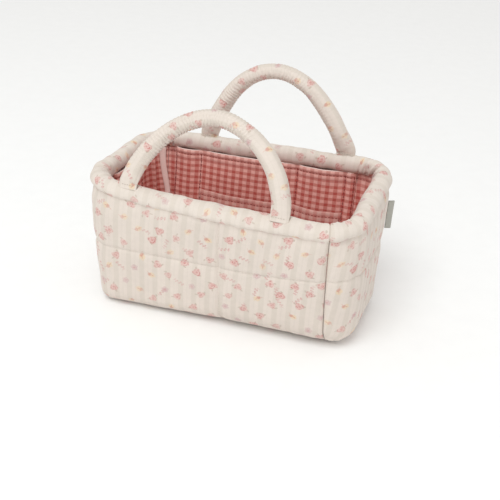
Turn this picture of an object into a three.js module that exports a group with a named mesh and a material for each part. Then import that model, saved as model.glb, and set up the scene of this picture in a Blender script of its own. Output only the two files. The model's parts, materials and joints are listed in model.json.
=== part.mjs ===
// Quilted storage basket: a padded cloth box with a rolled rim, wall pockets, two rope handles and a label tab.
// Millimetres. X runs along the length, Y from the front to the back, Z up.
// The origin is the middle of the flat underside.
import * as THREE from 'three';

// Outline of the basket
const rimLength = 225;
const rimWidth = 131;
const rimHeight = 118;
const rimCornerRadius = 32;
const baseLength = 214;
const baseWidth = 96;
const floorCornerRadius = 5;
const floorEdgeRadius = 7;

// Layers of the walls and of the floor
const outerClothThickness = 1.2;
const waddingThickness = 6;
const liningThickness = 1.2;
const layerGap = 0.3;

// Rolled rim
const rimRollWidth = 17;
const rimRollHeight = 15.5;
const rimOverhang = 1.5;
const rimClothThickness = 1.2;
const rimSlotWidth = 5;

// Seams between the outer panels stand this many degrees into each corner, and the seam allowance is a thin gap
const seamAngle = 15;
const seamGap = 0.3;

// How the soft walls have settled: the rim is twisted a little and its front sags in the middle
const rimTwist = 3.4;
const frontSag = 6;

// Wall pockets: each is sewn down at its ends, at its divider seams and along its bottom
const pocketClothThickness = 1.2;
const pocketMouth = 8;
const pocketTopDrop = 0.6;
const pocketBottomHeight = 16.5;
const pocketEase = 7;
const backPocketSeams = [-56, 30, 71];
const frontPocketSeams = [-27, 27];
const lowerPocketTop = 70;
const lowerPocketMouth = 7;
const pocketCornerClearance = 0.8;
const cornerStripWidth = 6.4;

// Handles: a rope inside a cloth sleeve that is flattened where it is sewn to the rim
const handleSpacing = 119;
const frontHandleShift = -8.5;
const backHandleShift = 8.5;
const handleRise = 59.5;
const handleShoulderX = 1.11;
const handleShoulderZ = 1.18;
const handleLegRadius = 7;
const handleTopRadius = 6.3;
const handleFootWidth = 17;
const handleFootThickness = 6;
const handleFootLength = 18;
const handleClothThickness = 1;
const handleRopeClearance = 0.3;
const handleFootClearance = 0.45;
const handleSetOut = 2;
const frontHandleLean = 25;
const backHandleLean = 5;

// Folded label tab, sewn into the back right seam
const tabReach = 10;
const tabHeight = 22;
const tabThickness = 1.2;
const tabMiddleHeight = 76;
const tabClearance = 0.3;

// Facets
const cornerSteps = 6;
const longSideSteps = 6;
const shortSideSteps = 3;
const rollSteps = 12;
const wallRows = 3;
const edgeRollAngles = [25, 50, 75];
const handleSteps = 24;
const sleeveSides = 12;
const ropeSides = 8;

// Depths of the layers below the outer face
const waddingDepth = outerClothThickness + layerGap;
const liningDepth = waddingDepth + waddingThickness + layerGap;
const wallThickness = liningDepth + liningThickness;
const edgeRadius = floorEdgeRadius + wallThickness;
const baseCornerRadius = floorCornerRadius + edgeRadius;

// Places that several pieces share
const rollMiddleHeight = rimHeight - rimRollHeight / 2;
const rollMiddleInset = rimRollWidth / 2;
const wallTop = rimHeight - rimRollHeight;
const lastEdgeAngle = THREE.MathUtils.degToRad(edgeRollAngles[edgeRollAngles.length - 1]);
const cornerSeamTurn = seamAngle / 90;
const pocketTop = wallTop - pocketTopDrop;

const { lerp, degToRad, clamp } = THREE.MathUtils;

// Rise of the settled rim over its nominal height, at a point in plan
function rimRise(x, y) {
  const along = clamp(x / (rimLength / 2), -1, 1);
  const across = clamp(y / (rimWidth / 2), -1, 1);
  return rimTwist * along * across - frontSag * (1 - along * along) * Math.max(0, -across);
}

// A nominal point moved to where the settled cloth holds it; the floor stays flat
function settled(x, y, z) {
  const share = clamp((z - wallThickness) / (rimHeight - wallThickness), 0, 1);
  return new THREE.Vector3(x, y, z + rimRise(x, y) * share);
}

// Point and outward normal on a rounded rectangle. A turn of 0 to 1 is the front side from left to right,
// 1 to 2 the front right corner, and so on round: right, back and left sides at 2, 4 and 6
function onOutline(halfLength, halfWidth, radius, turn) {
  const place = ((turn % 8) + 8) % 8;
  const section = Math.floor(place);
  const part = place - section;
  const quarter = Math.floor(section / 2);
  const isCorner = section % 2 === 1;
  const angle = (quarter - 1 + (isCorner ? part : 0)) * Math.PI / 2;
  const straightX = halfLength - radius;
  const straightY = halfWidth - radius;
  const corners = [[1, -1], [1, 1], [-1, 1], [-1, -1]];
  const [endX, endY] = corners[quarter];
  const [startX, startY] = isCorner ? corners[quarter] : corners[(quarter + 3) % 4];
  const centreX = lerp(startX, endX, part) * straightX;
  const centreY = lerp(startY, endY, part) * straightY;
  const normal = new THREE.Vector2(Math.cos(angle), Math.sin(angle));
  return { x: centreX + normal.x * radius, y: centreY + normal.y * radius, normal };
}

// Half length, half width and corner radius of the wall's outer face at a height
function wallOutline(z) {
  const share = z / wallTop;
  return {
    halfLength: lerp(baseLength / 2, rimLength / 2 - rimOverhang, share),
    halfWidth: lerp(baseWidth / 2, rimWidth / 2 - rimOverhang, share),
    radius: lerp(baseCornerRadius, rimCornerRadius - rimOverhang, share),
  };
}

// Point on the wall at a turn and height, inset from the outer face, and shifted along the wall
function wallPoint(turn, z, inset, shift = 0) {
  const { halfLength, halfWidth, radius } = wallOutline(z);
  const { x, y, normal } = onOutline(halfLength - inset, halfWidth - inset, radius - inset, turn);
  return settled(x - normal.y * shift, y + normal.x * shift, z);
}

// Height of the underside of the rim's roll over a depth of the wall
function rollUnderside(depth) {
  const across = clamp((rimOverhang + depth - rollMiddleInset) / rollMiddleInset, -1, 1);
  return rollMiddleHeight - rimRollHeight / 2 * Math.sqrt(1 - across * across);
}

// Stations round the basket, from one turn to another, with a station on each corner step and side step
function stationsBetween(from, to) {
  const turns = [from];
  for (let section = Math.floor(from); section < to; section += 1) {
    const place = ((section % 8) + 8) % 8;
    const isLong = place % 4 === 0;
    const steps = place % 2 === 1 ? cornerSteps : (isLong ? longSideSteps : shortSideSteps);
    for (let step = 0; step < steps; step += 1) {
      const turn = section + step / steps;
      if (turn > from + 1e-6 && turn < to - 1e-6) {
        turns.push(turn);
      }
    }
  }
  turns.push(to);
  return turns;
}

const roundTurns = stationsBetween(0, 8).slice(0, -1);

// A closed solid from points and triangles; the triangles are turned over if they face in
function solidFrom(points, triangles) {
  const corners = points.flatMap((point) => [point.x, point.y, point.z]);
  const geometry = new THREE.BufferGeometry();
  geometry.setAttribute('position', new THREE.Float32BufferAttribute(corners, 3));
  const volume = triangles.reduce((sum, [a, b, c]) => (
    sum + points[a].dot(new THREE.Vector3().crossVectors(points[b], points[c]))
  ), 0);
  const facing = volume > 0 ? triangles : triangles.map(([a, b, c]) => [a, c, b]);
  geometry.setIndex(facing.flat());
  geometry.computeVertexNormals();
  return geometry;
}

// Two triangles for each cell of a grid of numbered points, closed on itself along its rows, columns or both.
// From one column on, the cells are split along their other diagonal
function gridTriangles(rows, columns, rowsClose, columnsClose, otherDiagonalFrom = Infinity) {
  const triangles = [];
  for (let row = 0; row < rows - (rowsClose ? 0 : 1); row += 1) {
    for (let column = 0; column < columns - (columnsClose ? 0 : 1); column += 1) {
      const nextRow = (row + 1) % rows;
      const nextColumn = (column + 1) % columns;
      const a = row * columns + column;
      const b = row * columns + nextColumn;
      const c = nextRow * columns + nextColumn;
      const d = nextRow * columns + column;
      if (column < otherDiagonalFrom) {
        triangles.push([a, b, c], [a, c, d]);
      } else {
        triangles.push([a, b, d], [b, c, d]);
      }
    }
  }
  return triangles;
}

// A solid whose skin closes on itself both ways, such as a ring or an open tube with a wall
function ringSolid(grid) {
  return solidFrom(grid.flat(), gridTriangles(grid.length, grid[0].length, true, true));
}

// A solid between two faces that have the same grid of points, closed along their four edges.
// Both faces are split along the same diagonals, so that layers on top of each other stay parallel
function sheetSolid(frontGrid, backGrid) {
  const columns = frontGrid[0].length;
  const wrapped = frontGrid.map((row, index) => [...row, ...[...backGrid[index]].reverse()]);
  const around = wrapped[0].length;
  const last = (wrapped.length - 1) * around;
  const triangles = gridTriangles(wrapped.length, around, false, true, columns);
  for (let column = 0; column < columns - 1; column += 1) {
    const a = column;
    const b = column + 1;
    const c = around - 2 - column;
    const d = around - 1 - column;
    triangles.push([a, c, b], [a, d, c]);
    triangles.push([last + a, last + b, last + c], [last + a, last + c, last + d]);
  }
  return solidFrom(wrapped.flat(), triangles);
}

// A solid whose rows are closed loops, with a fan of triangles over each end
function cappedSolid(grid) {
  const columns = grid[0].length;
  const points = grid.flat();
  const triangles = gridTriangles(grid.length, columns, false, true);
  const middleOf = (row) => row.reduce((sum, point) => sum.clone().add(point)).multiplyScalar(1 / columns);
  points.push(middleOf(grid[0]), middleOf(grid[grid.length - 1]));
  const lastRow = (grid.length - 1) * columns;
  for (let column = 0; column < columns; column += 1) {
    const next = (column + 1) % columns;
    triangles.push([points.length - 2, next, column]);
    triangles.push([points.length - 1, lastRow + column, lastRow + next]);
  }
  return solidFrom(points, triangles);
}

// Heights and insets of one face of the walls, from the top down and round the bottom edge
function wallProfile(depth, top) {
  const profile = [];
  for (let row = 0; row < wallRows; row += 1) {
    profile.push({ z: lerp(top, edgeRadius, row / wallRows), inset: depth });
  }
  for (const degrees of [0, ...edgeRollAngles]) {
    const angle = degToRad(degrees);
    const reach = edgeRadius - depth;
    profile.push({ z: edgeRadius - reach * Math.sin(angle), inset: edgeRadius - reach * Math.cos(angle) });
  }
  return profile;
}

// One layer of one wall panel: its outer and inner faces stand at two depths
function wallPanel(fromTurn, toTurn, outerDepth, innerDepth) {
  const turns = stationsBetween(fromTurn, toTurn);
  const nearestToRoll = clamp(rollMiddleInset - rimOverhang, outerDepth, innerDepth);
  const top = rollUnderside(nearestToRoll) - layerGap;
  const faceAt = (depth) => wallProfile(depth, top).map(({ z, inset }) => (
    turns.map((turn, index) => {
      const atStart = index === 0 ? seamGap / 2 : 0;
      const atEnd = index === turns.length - 1 ? -seamGap / 2 : 0;
      return wallPoint(turn, z, inset, atStart + atEnd);
    })
  ));
  return sheetSolid(faceAt(outerDepth), faceAt(innerDepth));
}

// One layer of the floor, inside the lower edge of the same layer of the walls
function floorPanel(lowerDepth, upperDepth) {
  const outlineAt = (depth) => {
    const inset = edgeRadius - (edgeRadius - depth) * Math.cos(lastEdgeAngle) + layerGap;
    return roundTurns.map((turn) => wallPoint(turn, depth, inset));
  };
  return cappedSolid([outlineAt(lowerDepth), outlineAt(upperDepth)]);
}

// Point on the rim at a turn, from its section's inset and height
function rimPoint(turn, inset, z) {
  const outline = onOutline(rimLength / 2 - inset, rimWidth / 2 - inset, rimCornerRadius - inset, turn);
  return settled(outline.x, outline.y, z);
}

// Points of the roll's oval section, drawn in by a distance, from one angle to another over the top
function rollSection(drawnIn, fromAngle, toAngle, steps) {
  const points = [];
  for (let step = 0; step <= steps; step += 1) {
    const angle = lerp(fromAngle, toAngle, step / steps);
    points.push({
      inset: rollMiddleInset - (rollMiddleInset - drawnIn) * Math.cos(angle),
      z: rollMiddleHeight + (rimRollHeight / 2 - drawnIn) * Math.sin(angle),
    });
  }
  return points;
}

// Cloth of the roll, open along its underside where the wall's wadding meets the roll's
function rimCover() {
  const slotAngle = Math.acos(rimSlotWidth / rimRollWidth);
  const outside = rollSection(0, -slotAngle, Math.PI + slotAngle, rollSteps);
  const inside = rollSection(rimClothThickness, Math.PI + slotAngle, -slotAngle, rollSteps);
  const section = [...outside, ...inside];
  return ringSolid(roundTurns.map((turn) => section.map(({ inset, z }) => rimPoint(turn, inset, z))));
}

// Wadding inside the roll
function rimWadding() {
  const drawnIn = rimClothThickness + layerGap;
  const section = rollSection(drawnIn, 0, Math.PI * 2, rollSteps).slice(0, -1);
  return ringSolid(roundTurns.map((turn) => section.map(({ inset, z }) => rimPoint(turn, inset, z))));
}

// Share of its full mouth that a pocket opens at a place along it: none at its seams, all between them
function pocketOpenShare(along, seams) {
  const nearest = Math.min(...seams.map((seam) => Math.abs(along - seam)));
  return clamp(nearest / pocketEase, 0, 1);
}

// Places along a pocket: its seams, and where its cloth has eased away from each seam
function pocketStations(seams) {
  const places = seams.flatMap((seam) => [seam - pocketEase, seam, seam + pocketEase]);
  const inside = places.filter((place) => place >= seams[0] && place <= seams[seams.length - 1]);
  return [...new Set(inside)].sort((a, b) => a - b);
}

// How far the back face of a main pocket stands off the lining
function mainPocketStandOff(along, z, seams) {
  const climb = (z - pocketBottomHeight) / (pocketTop - pocketBottomHeight);
  return layerGap + pocketMouth * climb * pocketOpenShare(along, seams);
}

// Point at a place along a wall (0 front, 1 right, 2 back, 3 left), standing off the lining's inner face
function offLining(side, along, z, standOff) {
  const { halfLength, halfWidth } = wallOutline(z);
  const depth = wallThickness + standOff;
  const places = [
    [along, -(halfWidth - depth)],
    [halfLength - depth, along],
    [along, halfWidth - depth],
    [-(halfLength - depth), along],
  ];
  return settled(...places[side], z);
}

// A pocket's cloth between its back face, given as a distance off the lining, and its front face
function pocketSolid(side, places, heights, standOff) {
  const faceAt = (extra) => heights.map((z) => (
    places.map((along) => offLining(side, along, z, standOff(along, z) + extra))
  ));
  return sheetSolid(faceAt(0), faceAt(pocketClothThickness));
}

// Half of the straight stretch of a wall that a pocket can cover, clear of the corners at every height
const longPocketHalf = Math.min(
  rimLength / 2 - rimCornerRadius,
  baseLength / 2 - baseCornerRadius,
) - pocketCornerClearance;
const shortPocketHalf = Math.min(
  rimWidth / 2 - rimCornerRadius,
  baseWidth / 2 - baseCornerRadius,
) - pocketCornerClearance;

// Heights at which both pockets of the back wall have a row of points
const lowerPocketHeights = [lowerPocketTop, lerp(lowerPocketTop, pocketBottomHeight, 0.5), pocketBottomHeight];

// A pocket over a whole wall, with its ends and dividers sewn down
function wallPocket(side, half, dividers) {
  const seams = [-half, ...dividers, half];
  return pocketSolid(side, pocketStations(seams), [pocketTop, ...lowerPocketHeights], (along, z) => (
    mainPocketStandOff(along, z, seams)
  ));
}

// The shorter pocket sewn over the back pocket, from its first divider to its last
function lowerPocket() {
  const behindSeams = [-longPocketHalf, ...backPocketSeams, longPocketHalf];
  const climbOf = (z) => (z - pocketBottomHeight) / (lowerPocketTop - pocketBottomHeight);
  return pocketSolid(2, pocketStations(backPocketSeams), lowerPocketHeights, (along, z) => (
    mainPocketStandOff(along, z, behindSeams) + pocketClothThickness + layerGap
      + lowerPocketMouth * climbOf(z) * pocketOpenShare(along, backPocketSeams)
  ));
}

// Bound strip over the join of the pocket cloth in the back left corner
function cornerStrip() {
  const middle = 5.5;
  const cornerArc = (rimCornerRadius - rimOverhang - wallThickness) * Math.PI / 2;
  const reach = cornerStripWidth / 2 / cornerArc;
  const turns = [middle - reach, middle, middle + reach];
  const heights = [pocketTop, lerp(pocketTop, pocketBottomHeight, 0.5), pocketBottomHeight];
  const faceAt = (depth) => heights.map((z) => turns.map((turn) => wallPoint(turn, z, depth)));
  const nearDepth = wallThickness + layerGap;
  return sheetSolid(faceAt(nearDepth), faceAt(nearDepth + pocketClothThickness));
}

// A handle's arched middle line in its own plane, with its hinge line at height 0
const handleLine = Array.from({ length: handleSteps + 1 }, (unused, step) => {
  const angle = Math.PI * step / handleSteps;
  const cosine = Math.cos(angle);
  const x = -Math.sign(cosine) * Math.abs(cosine) ** handleShoulderX * handleSpacing / 2;
  return new THREE.Vector3(x, 0, handleRise * Math.max(Math.sin(angle), 0) ** handleShoulderZ);
});

// Length along the handle's line up to each of its points
const handleRun = handleLine.reduce((runs, point, index) => (
  index === 0 ? [0] : [...runs, runs[index - 1] + point.distanceTo(handleLine[index - 1])]
), []);

// Direction in the handle's plane, square to its line and pointing out of the loop
function handleOutward(index) {
  const before = handleLine[Math.max(index - 1, 0)];
  const after = handleLine[Math.min(index + 1, handleSteps)];
  if (index === 0 || index === handleSteps) {
    return new THREE.Vector3(index === 0 ? -1 : 1, 0, 0);
  }
  const along = after.clone().sub(before).normalize();
  return new THREE.Vector3(-along.z, 0, along.x);
}

// Half width in the handle's plane and half thickness across it, drawn in by a distance
function handleSize(index, drawnIn) {
  const toFoot = Math.min(handleRun[index], handleRun[handleSteps] - handleRun[index]);
  const easedLeg = THREE.MathUtils.smoothstep(toFoot, 0, handleFootLength);
  const easedTop = THREE.MathUtils.smoothstep(toFoot, handleFootLength, handleRun[handleSteps] / 2);
  const radius = lerp(handleLegRadius, handleTopRadius, easedTop);
  return {
    wide: lerp(handleFootWidth / 2, radius, easedLeg) - drawnIn,
    thick: lerp(handleFootThickness / 2, radius, easedLeg) - drawnIn,
  };
}

// Loop of points round the handle's line; the ends are rounded about the hinge line so that they clear the rim
function handleLoop(index, wide, thick, sides, roundEnd) {
  const outward = handleOutward(index);
  const isEnd = index === 0 || index === handleSteps;
  return Array.from({ length: sides }, (unused, side) => {
    const angle = 2 * Math.PI * side / sides;
    const point = handleLine[index].clone().addScaledVector(outward, wide * Math.cos(angle));
    point.y += thick * Math.sin(angle);
    if (isEnd && roundEnd) {
      point.z -= thick * Math.abs(Math.cos(angle));
    }
    return point;
  });
}

// The handle's cloth sleeve: an open tube with a wall
function handleSleeve() {
  const faceAt = (drawnIn) => handleLine.map((unused, index) => {
    const { wide, thick } = handleSize(index, drawnIn);
    return handleLoop(index, wide, thick, sleeveSides, true);
  });
  return ringSolid([...faceAt(0), ...faceAt(handleClothThickness).reverse()]);
}

// The rope in the sleeve, which stops short of the flattened feet
function handleRope() {
  const radius = handleTopRadius - handleClothThickness - handleRopeClearance;
  const inSleeve = handleLine.map((unused, index) => index).filter((index) => {
    const { thick } = handleSize(index, handleClothThickness + handleRopeClearance);
    return thick >= radius;
  });
  const middleOnly = inSleeve.slice(1, -1);
  return cappedSolid(middleOnly.map((index) => handleLoop(index, radius, radius, ropeSides, false)));
}

// Places a group so that its X, Y and Z follow a line, its square and a leaning upright
function alignGroup(group, origin, along, upright) {
  const across = new THREE.Vector3().crossVectors(upright, along).normalize();
  const squareUp = new THREE.Vector3().crossVectors(along, across).normalize();
  group.quaternion.setFromRotationMatrix(new THREE.Matrix4().makeBasis(along, across, squareUp));
  group.position.copy(origin);
}

// Hinge point of one handle foot, over the crest of the rim
function handleFootPoint(x, backSign) {
  const y = backSign * (rimWidth / 2 - rollMiddleInset + handleSetOut);
  const crest = rimHeight + rimRise(x, y);
  return new THREE.Vector3(x, y, crest + handleFootThickness / 2 + handleFootClearance);
}

// A group for one handle: it stands on the line through its two feet and leans towards the back by an angle
function handleGroup(shift, backSign, lean) {
  const left = handleFootPoint(shift - handleSpacing / 2, backSign);
  const right = handleFootPoint(shift + handleSpacing / 2, backSign);
  const along = right.clone().sub(left).normalize();
  const upright = new THREE.Vector3(0, Math.sin(degToRad(lean)), Math.cos(degToRad(lean)));
  const group = new THREE.Group();
  alignGroup(group, left.clone().add(right).multiplyScalar(0.5), along, upright);
  return group;
}

// The label tab's outline in plan: its hinge end and its folded end are round
function tabSolid() {
  const half = tabThickness / 2;
  const outline = new THREE.Shape();
  outline.absarc(0, 0, half, Math.PI / 2, Math.PI * 1.5, false);
  outline.lineTo(tabReach - half, -half);
  outline.absarc(tabReach - half, 0, half, -Math.PI / 2, Math.PI / 2, false);
  outline.closePath();
  const solid = new THREE.ExtrudeGeometry(outline, { depth: tabHeight, bevelEnabled: false, curveSegments: 4 });
  return solid.translate(0, 0, -tabHeight / 2);
}

// A group for the label tab, with its Z along the seam and its X pointing out of the wall
function tabGroup() {
  const turn = 3 + cornerSeamTurn;
  const low = wallPoint(turn, tabMiddleHeight - tabHeight / 2, 0);
  const high = wallPoint(turn, tabMiddleHeight + tabHeight / 2, 0);
  const { halfLength, halfWidth, radius } = wallOutline(tabMiddleHeight);
  const { normal } = onOutline(halfLength, halfWidth, radius, turn);
  const upright = high.clone().sub(low).normalize();
  const outward = new THREE.Vector3(normal.x, normal.y, 0);
  outward.addScaledVector(upright, -outward.dot(upright)).normalize();
  const origin = low.clone().add(high).multiplyScalar(0.5);
  origin.addScaledVector(outward, tabThickness / 2 + tabClearance);
  const group = new THREE.Group();
  alignGroup(group, origin, outward, upright);
  return group;
}

const clothColours = {
  printedCloth: { color: 0xf3ebe0, roughness: 0.9, metalness: 0 },
  wadding: { color: 0xfafafa, roughness: 1, metalness: 0 },
  checkedCloth: { color: 0xd98c88, roughness: 0.9, metalness: 0 },
  rope: { color: 0xe9e2d2, roughness: 1, metalness: 0 },
  binding: { color: 0xf4dcd8, roughness: 0.9, metalness: 0 },
  label: { color: 0xc9ccc8, roughness: 0.8, metalness: 0 },
};

// A named piece with a material of its own
function piece(name, geometry, finish) {
  const mesh = new THREE.Mesh(geometry, new THREE.MeshStandardMaterial(clothColours[finish]));
  mesh.name = name;
  return mesh;
}

const basket = new THREE.Group();

// Walls: each panel runs from the seam in one corner to the seam in the next
const walls = [
  { wall: 'front', from: cornerSeamTurn - 1, to: cornerSeamTurn + 1 },
  { wall: 'right_end', from: cornerSeamTurn + 1, to: cornerSeamTurn + 3 },
  { wall: 'back', from: cornerSeamTurn + 3, to: cornerSeamTurn + 5 },
  { wall: 'left_end', from: cornerSeamTurn + 5, to: cornerSeamTurn + 7 },
];
for (const { wall, from, to } of walls) {
  basket.add(piece(`outer_${wall}_panel`, wallPanel(from, to, 0, outerClothThickness), 'printedCloth'));
  const waddingEnd = waddingDepth + waddingThickness;
  basket.add(piece(`${wall}_wadding`, wallPanel(from, to, waddingDepth, waddingEnd), 'wadding'));
  basket.add(piece(`${wall}_lining`, wallPanel(from, to, liningDepth, wallThickness), 'checkedCloth'));
}

// Floor
basket.add(piece('outer_base_panel', floorPanel(0, outerClothThickness), 'printedCloth'));
basket.add(piece('base_wadding', floorPanel(waddingDepth, waddingDepth + waddingThickness), 'wadding'));
basket.add(piece('base_lining', floorPanel(liningDepth, wallThickness), 'checkedCloth'));

// Rim
basket.add(piece('rim_cover', rimCover(), 'printedCloth'));
basket.add(piece('rim_wadding', rimWadding(), 'wadding'));

// Pockets
basket.add(piece('front_pocket', wallPocket(0, longPocketHalf, frontPocketSeams), 'checkedCloth'));
basket.add(piece('right_end_pocket', wallPocket(1, shortPocketHalf, []), 'checkedCloth'));
basket.add(piece('back_pocket', wallPocket(2, longPocketHalf, backPocketSeams), 'checkedCloth'));
basket.add(piece('left_end_pocket', wallPocket(3, shortPocketHalf, []), 'checkedCloth'));
basket.add(piece('back_lower_pocket', lowerPocket(), 'checkedCloth'));
basket.add(piece('pocket_join_strip', cornerStrip(), 'binding'));

// Handles and label tab
const frontHandle = handleGroup(frontHandleShift, -1, frontHandleLean);
const backHandle = handleGroup(backHandleShift, 1, backHandleLean);
for (const [name, group] of [['front', frontHandle], ['back', backHandle]]) {
  group.add(piece(`${name}_handle_sleeve`, handleSleeve(), 'printedCloth'));
  group.add(piece(`${name}_handle_rope`, handleRope(), 'rope'));
}
const tab = tabGroup();
tab.add(piece('label_tab', tabSolid(), 'label'));

const object = new THREE.Group();
object.add(basket, frontHandle, backHandle, tab);

export default object;
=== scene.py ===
"""Looks of the quilted storage basket: its cloths, wadding, stitching and handles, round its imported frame.

Sizes are in millimetres and become metres in each mesh. X runs along the length, Y to the back, Z up.
"""

from __future__ import annotations

import json
import logging
import math
from dataclasses import dataclass
from enum import Enum
from functools import cached_property, lru_cache
from typing import Sequence

import bpy
import numpy as np
from mathutils import Matrix, Vector


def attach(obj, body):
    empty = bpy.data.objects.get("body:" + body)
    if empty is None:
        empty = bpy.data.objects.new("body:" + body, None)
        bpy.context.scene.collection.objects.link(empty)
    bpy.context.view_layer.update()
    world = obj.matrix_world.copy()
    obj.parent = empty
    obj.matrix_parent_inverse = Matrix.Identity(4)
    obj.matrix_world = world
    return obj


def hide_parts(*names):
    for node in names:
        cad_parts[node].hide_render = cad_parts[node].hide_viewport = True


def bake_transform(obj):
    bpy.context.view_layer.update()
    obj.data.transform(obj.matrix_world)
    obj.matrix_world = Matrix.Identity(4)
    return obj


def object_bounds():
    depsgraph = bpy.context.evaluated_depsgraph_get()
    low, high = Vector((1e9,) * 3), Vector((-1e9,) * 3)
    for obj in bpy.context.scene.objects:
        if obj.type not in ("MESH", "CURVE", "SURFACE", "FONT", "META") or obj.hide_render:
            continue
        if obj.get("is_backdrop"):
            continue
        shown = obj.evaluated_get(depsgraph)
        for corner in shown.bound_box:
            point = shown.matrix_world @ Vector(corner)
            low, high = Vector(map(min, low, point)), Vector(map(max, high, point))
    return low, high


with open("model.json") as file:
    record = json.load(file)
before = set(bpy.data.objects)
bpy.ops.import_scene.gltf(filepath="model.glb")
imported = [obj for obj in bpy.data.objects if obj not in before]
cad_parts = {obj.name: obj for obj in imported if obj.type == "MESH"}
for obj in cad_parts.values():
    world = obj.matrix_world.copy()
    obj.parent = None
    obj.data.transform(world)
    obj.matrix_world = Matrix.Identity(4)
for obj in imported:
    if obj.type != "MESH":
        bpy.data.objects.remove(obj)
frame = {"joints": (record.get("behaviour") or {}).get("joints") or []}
CAD_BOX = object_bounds()

LOG = logging.getLogger("basket")
CLOTH_MAP = "ClothMap"
MM = 0.001
TURNS = 8
PUFF_ROUNDNESS = 1.25
Array = np.ndarray
Piece = bpy.types.Object
Socket = bpy.types.NodeSocket
Sockets = bpy.types.bpy_prop_collection
Colour = tuple[float, float, float]
WHITE: Colour = (1.0, 1.0, 1.0)
UPWARD = np.array([0.0, 0.0, 1.0])


def screen(red: float, green: float, blue: float) -> Colour:
    """Linear colour of a screen colour whose parts go from 0 to 255."""
    return tuple((part / 255) ** 2.2 for part in (red, green, blue))


def ramp(value: Array, low: float, high: float) -> Array:
    """Smooth step of a value, from 0 at low to 1 at high."""
    share = np.clip((value - low) / (high - low), 0, 1)
    return share * share * (3 - 2 * share)


def pillow(distance: Array, reach: float) -> Array:
    """Share of its full puff that quilted cloth has at a distance from a line of stitches."""
    return 1 - np.exp(-((np.maximum(distance, 0) / reach) ** PUFF_ROUNDNESS))


def valley(distance: Array, width: float) -> Array:
    """A soft valley of depth 1 along a line."""
    return np.exp(-((distance / width) ** 2))


def unit(vectors: Array) -> Array:
    """Vectors scaled to length 1."""
    return vectors / np.maximum(np.linalg.norm(vectors, axis=-1, keepdims=True), 1e-12)


def run_along(points: Array) -> Array:
    """Length along rows of points, each starting from 0."""
    steps = np.linalg.norm(np.diff(points, axis=-2), axis=-1)
    return np.concatenate([np.zeros(steps.shape[:-1] + (1,)), np.cumsum(steps, -1)], -1)


def interpolate(places: Array, known: Array, points: Array) -> Array:
    """Points at places between known ones."""
    return np.stack([np.interp(places, known, column) for column in points.T], -1)


def pairs(first: Array, second: Array) -> Array:
    """Pairs of two coordinates, spread over their common shape."""
    return np.stack(np.broadcast_arrays(first, second), -1)


def circle(sides: int) -> Array:
    """Angles of a ring's points, evenly spaced."""
    return np.arange(sides) * 2 * math.pi / sides


def joint_of(name: str) -> tuple[Array, Array]:
    """Place of a joint in millimetres and direction of its axis, from the frame."""
    joint = next(item for item in frame["joints"] if item["name"] == name)
    return np.array(joint["pos_m"], float) / MM, unit(np.array(joint["axis"], float))


class SoftNoise:
    """Smooth random field in space, from about -1 to 1, the same on every run."""

    SIZE = 256
    GAIN = 1.6

    def __init__(self, seed: int) -> None:
        """Draws the slopes of the field.

        Args:
            seed: Number that picks the field.
        """
        draw = np.random.default_rng(seed)
        self.slopes = unit(draw.normal(size=(self.SIZE, 3)))
        self.order = np.tile(draw.permutation(self.SIZE), 2)

    def __call__(self, x: Array, y: Array, z: Array | float = 0.0) -> Array:
        """Value of the field at points.

        Args:
            x: First coordinate, in wavelengths.
            y: Second coordinate, in wavelengths.
            z: Third coordinate, in wavelengths.

        Returns:
            The field's values, in the broadcast shape of the coordinates.
        """
        place = np.stack(np.broadcast_arrays(x, y, z), -1).astype(float)
        base = np.floor(place).astype(int)
        part = place - base
        ease = part**3 * (part * (part * 6 - 15) + 10)
        total = np.zeros(place.shape[:-1])
        for corner in np.ndindex(2, 2, 2):
            cell = (base + corner) % self.SIZE
            first = self.order[self.order[cell[..., 0]] + cell[..., 1]]
            slope = self.slopes[self.order[first + cell[..., 2]]]
            weight = np.prod(np.where(np.array(corner) == 1, ease, 1 - ease), -1)
            total += (slope * (part - corner)).sum(-1) * weight
        return total * self.GAIN


@lru_cache
def soft_noise(seed: int) -> SoftNoise:
    """The random field of a seed, drawn once."""
    return SoftNoise(seed)


@dataclass(frozen=True)
class Relief:
    """Random bumps of cloth: the seed of their field, their height, and their lengths on three axes."""

    seed: int
    height: float
    lengths: tuple[float, float, float]

    def at(self, x: Array, y: Array, z: Array | float = 0.0) -> Array:
        """Height of the bumps at places."""
        along, across, down = self.lengths
        return self.height * soft_noise(self.seed)(x / along, y / across, z / down)


@dataclass(frozen=True)
class Groove:
    """A soft groove along a line of stitches or a fold: its depth and its width."""

    depth: float
    width: float

    def at(self, distance: Array) -> Array:
        """Depth at distances from the line."""
        return self.depth * valley(distance, self.width)


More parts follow.
